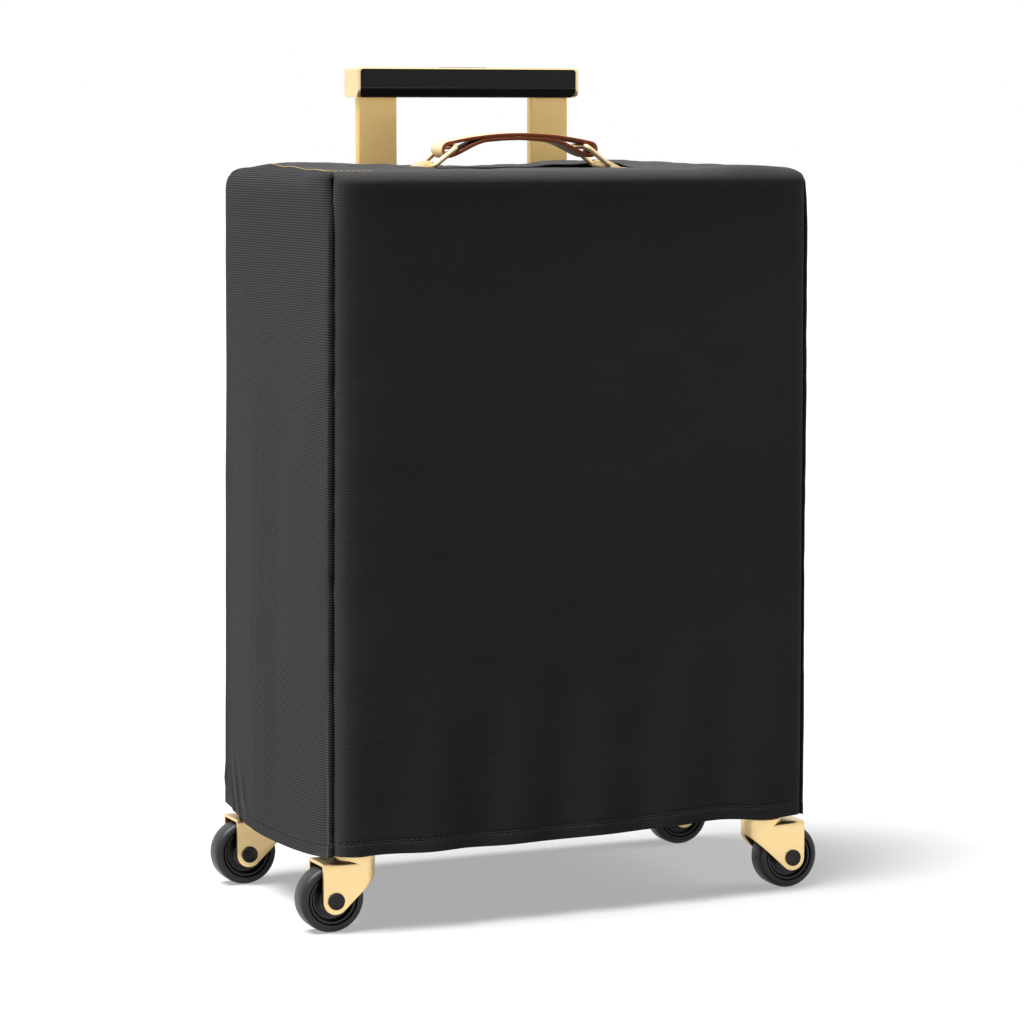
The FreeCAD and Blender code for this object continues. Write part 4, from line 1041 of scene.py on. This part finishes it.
def fork_stations(trail, nose, axle_z):
    """Plan points of one cheek from tail to nose: place, outward normal and lower edge."""
    tail = arc((-trail, axle_z), CHEEK_ROUND, 180, 270 + RAKE_DEGREES, 12)
    touch_x, touch_z = tail[-1]

    def raked(x):
        return touch_z + (x - touch_x) / math.tan(math.radians(RAKE_DEGREES))

    rows = [((x, nose), (0.0, 1.0), edge) for x, edge in tail]
    rows += [((x, nose), (0.0, 1.0), raked(x)) for x in np.linspace(touch_x, NOSE_FLAT, 7)[1:]]
    bend = nose - NOSE_FLAT
    for out_x, out_y in arc((0, 0), 1.0, 90, 0, 14)[1:]:
        x = NOSE_FLAT + bend * out_x
        rows.append(((x, NOSE_FLAT + bend * out_y), (out_x, out_y), raked(x)))
    return rows


def fork_hoop(place, outward, edge, roof):
    """Points of the fork's sheet at one station: up a cheek, over the roof and down the other cheek."""
    x, y = place
    half = [(x, y, z) for z in np.linspace(edge, roof - FORK_FOLD, CHEEK_STEPS + 1)]
    fold = arc((-FORK_FOLD, roof - FORK_FOLD), FORK_FOLD, 0, 90, CHEEK_STEPS)[1:]
    half += [(x + outward[0] * out, y + outward[1] * out, z) for out, z in fold]
    edge_x, edge_y, top = half[-1]
    flat = [(edge_x, edge_y * share, top) for share in (0.5, 0.0, -0.5)]
    return half + flat + [(a, -b, c) for a, b, c in half[::-1]]


def make_fork(corner, across):
    """A sheet folded down on both sides and round its nose; its inner faces carry painted shade."""
    low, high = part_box(f"caster_fork_{corner}")
    tyre_low, tyre_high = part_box(f"tyre_{corner}")
    axle = (tyre_low + tyre_high) / 2
    nose = (high.y - low.y) / 2
    swivel_x = low.x + nose if across > 0 else high.x - nose
    trail = abs(axle.x - swivel_x)
    bearing_low, bearing_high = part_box("front_swivel_bearings")
    roof = bearing_low.z - SWIVEL_GAP
    hoops = [fork_hoop(*row, roof) for row in fork_stations(trail, nose, axle.z)]
    columns = len(hoops[0])
    points = [(swivel_x - across * a, axle.y + b, c) for hoop in hoops for a, b, c in hoop]
    faces = grid_faces(len(hoops), columns)
    last = (len(hoops) - 1) * columns
    for step in range(2 * CHEEK_STEPS):
        faces.append([last + step, last + step + 1, last + columns - 2 - step, last + columns - 1 - step])
    fork = solid(f"fork_{corner}", points, faces, fork_gold, fork_painted_shade, sharp=50)
    if across > 0:
        fork.data.flip_normals()
    sheet = fork.modifiers.new("sheet", "SOLIDIFY")
    sheet.thickness = FORK_WALL
    sheet.offset = -1.0
    # The inner faces take the second material, the painted shade.
    sheet.material_offset = 1
    settle(fork)
    soften(fork, 0.45 * MM, segments=2, angle=50)
    crown = make_crown(nose, bearing_high.y - bearing_low.y, (swivel_x, axle.y), roof, high.z)
    join(fork, crown)
    dress(fork, f"fork_{corner}", "gold_steel", f"caster_fork_{corner}")
    return axle


def make_crown(radius, bearing_width, swivel, roof, top):
    """The raised ring on a fork, round its bearing."""
    bore = bearing_width / 2 + SWIVEL_GAP
    soft = 0.6 * MM
    foot = roof - FORK_WALL + SWIVEL_GAP
    skirt = roof - FORK_FOLD - 0.2 * MM
    outside = radius + 0.06 * MM
    profile = [(bore, foot), (outside - 1.2 * MM, foot), (outside - 1.2 * MM, skirt), (outside, skirt),
               *arc((outside - soft, top - soft), soft, 0, 90, 4), (bore, top)]
    return solid("crown", *lathe(profile, (*swivel, 0), 64), fork_gold)


def join(obj, other):
    """Add another object's closed mesh to an object, and remove the other."""
    fix_normals(other.data)
    with bpy.context.temp_override(active_object=obj, selected_editable_objects=[obj, other]):
        bpy.ops.object.join()


def make_tyre(corner, axle):
    """A tyre with round shoulders."""
    low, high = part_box(f"tyre_{corner}")
    radius = (high.z - low.z) / 2
    half = (high.y - low.y) / 2
    shoulder = 4.2 * MM
    flank = [(HUB_RADIUS, half - 1.6 * MM), (HUB_RADIUS + 0.3 * MM, half - 0.5 * MM),
             (HUB_RADIUS + 0.9 * MM, half), *arc((radius - shoulder, half - shoulder), shoulder, 90, 12)]
    profile = flank + [(radius, 0.0)] + mirror(flank)
    tyre = solid(f"tread_{corner}", *lathe(profile, axle, 96, lying=True), tyre_black)
    dress(tyre, f"wheel_{corner}", "tyre", f"tyre_{corner}")


def make_hub(corner, axle):
    """A hub with a boss, a ridged web and a rim."""
    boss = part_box(f"wheel_hub_{corner}")[1].y - axle.y
    rim = 8.3 * MM
    web = 5.5 * MM
    face = [(4.1 * MM, boss - 0.5 * MM), (4.6 * MM, boss), (7.2 * MM, boss), (8.0 * MM, boss - 0.8 * MM),
            (8.4 * MM, web + 0.4 * MM), (9.2 * MM, web), (11.0 * MM, web), (11.4 * MM, web + 0.9 * MM),
            (12.6 * MM, web + 0.9 * MM), (13.0 * MM, web), (14.6 * MM, web), (15.4 * MM, web + 0.6 * MM),
            (15.9 * MM, rim - 0.5 * MM), (16.4 * MM, rim), (17.8 * MM, rim),
            (HUB_RADIUS - 0.15 * MM, rim - 0.6 * MM)]
    disc = solid(f"hub_{corner}", *lathe(face + mirror(face), axle, 96, lying=True), hub_black)
    dress(disc, f"wheel_{corner}", "hub", f"wheel_hub_{corner}")


def make_bolt(corner, axle):
    """An axle bolt with flat round ends."""
    low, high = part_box(f"axle_bolt_{corner}")
    end = (high.y - low.y) / 2
    cap = (high.z - low.z) / 2
    seat = end - 1.6 * MM
    tip = [(0.2 * MM, end - 0.25 * MM), (cap - 1.7 * MM, end - 0.25 * MM), (cap - 1.3 * MM, end),
           (cap - 0.7 * MM, end), *arc((cap - 0.5 * MM, end - 0.5 * MM), 0.5 * MM, 80, 0, 3), (cap, seat),
           (4.0 * MM, seat)]
    bolt = solid(f"bolt_{corner}", *lathe(tip + mirror(tip), axle, 48, lying=True), cap_black)
    dress(bolt, f"fork_{corner}", "axle_black", f"axle_bolt_{corner}")


def make_bearings():
    """Round raceways between each fork and its plate."""
    for end, body in (("front", "lid"), ("rear", "case")):
        low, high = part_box(f"{end}_swivel_bearings")
        radius = (high.y - low.y) / 2
        middle = (low + high) / 2
        half = (high.z - low.z) / 2
        bulge = arc((radius - half, middle.z), half, -90, 90, 10)
        profile = [(BEARING_BORE, low.z), *bulge, (BEARING_BORE, high.z)]
        swivel_x = high.x - radius
        rings = [lathe(profile, (side * swivel_x, middle.y, 0), 64) for side in SIDES.values()]
        race = solid(f"{end}_raceways", *merge(rings), gold)
        dress(race, body, "steel", f"{end}_swivel_bearings")


# Pieces that keep their CAD shape
def finish_nodes():
    """Give each CAD node that still shows its finish."""
    finishes = {
        shell: ["front_shell", "back_shell"],
        tape: ["front_zip_band", "back_zip_band"],
        lining: ["lining_board"],
        gold: ["zip_slider", "zip_puller"],
        fork_gold: ["front_caster_plates", "rear_caster_plates"],
        mill: ["trolley_tube_left", "trolley_tube_right", "tube_braces", "release_rods"],
        nylon: ["tube_collars", "leg_plugs", "top_bezel"],
        steel: ["hinge_back_leaves", "hinge_front_leaves", "hinge_pins", "rear_kingpins", "front_kingpins",
                "rear_caster_screws", "front_caster_screws", "lock_plunger_left", "lock_plunger_right"],
    }
    for material, nodes in finishes.items():
        for node in nodes:
            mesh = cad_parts[node].data
            mesh.materials.clear()
            mesh.materials.append(material)


add_camera()
add_stage()
add_lights()
make_cover()
make_legs()
make_grip()
make_button()
make_strap()
make_links()
make_lugs()
for corner, side in CORNERS.items():
    axle = make_fork(corner, side)
    make_tyre(corner, axle)
    make_hub(corner, axle)
    make_bolt(corner, axle)
make_bearings()
finish_nodes()
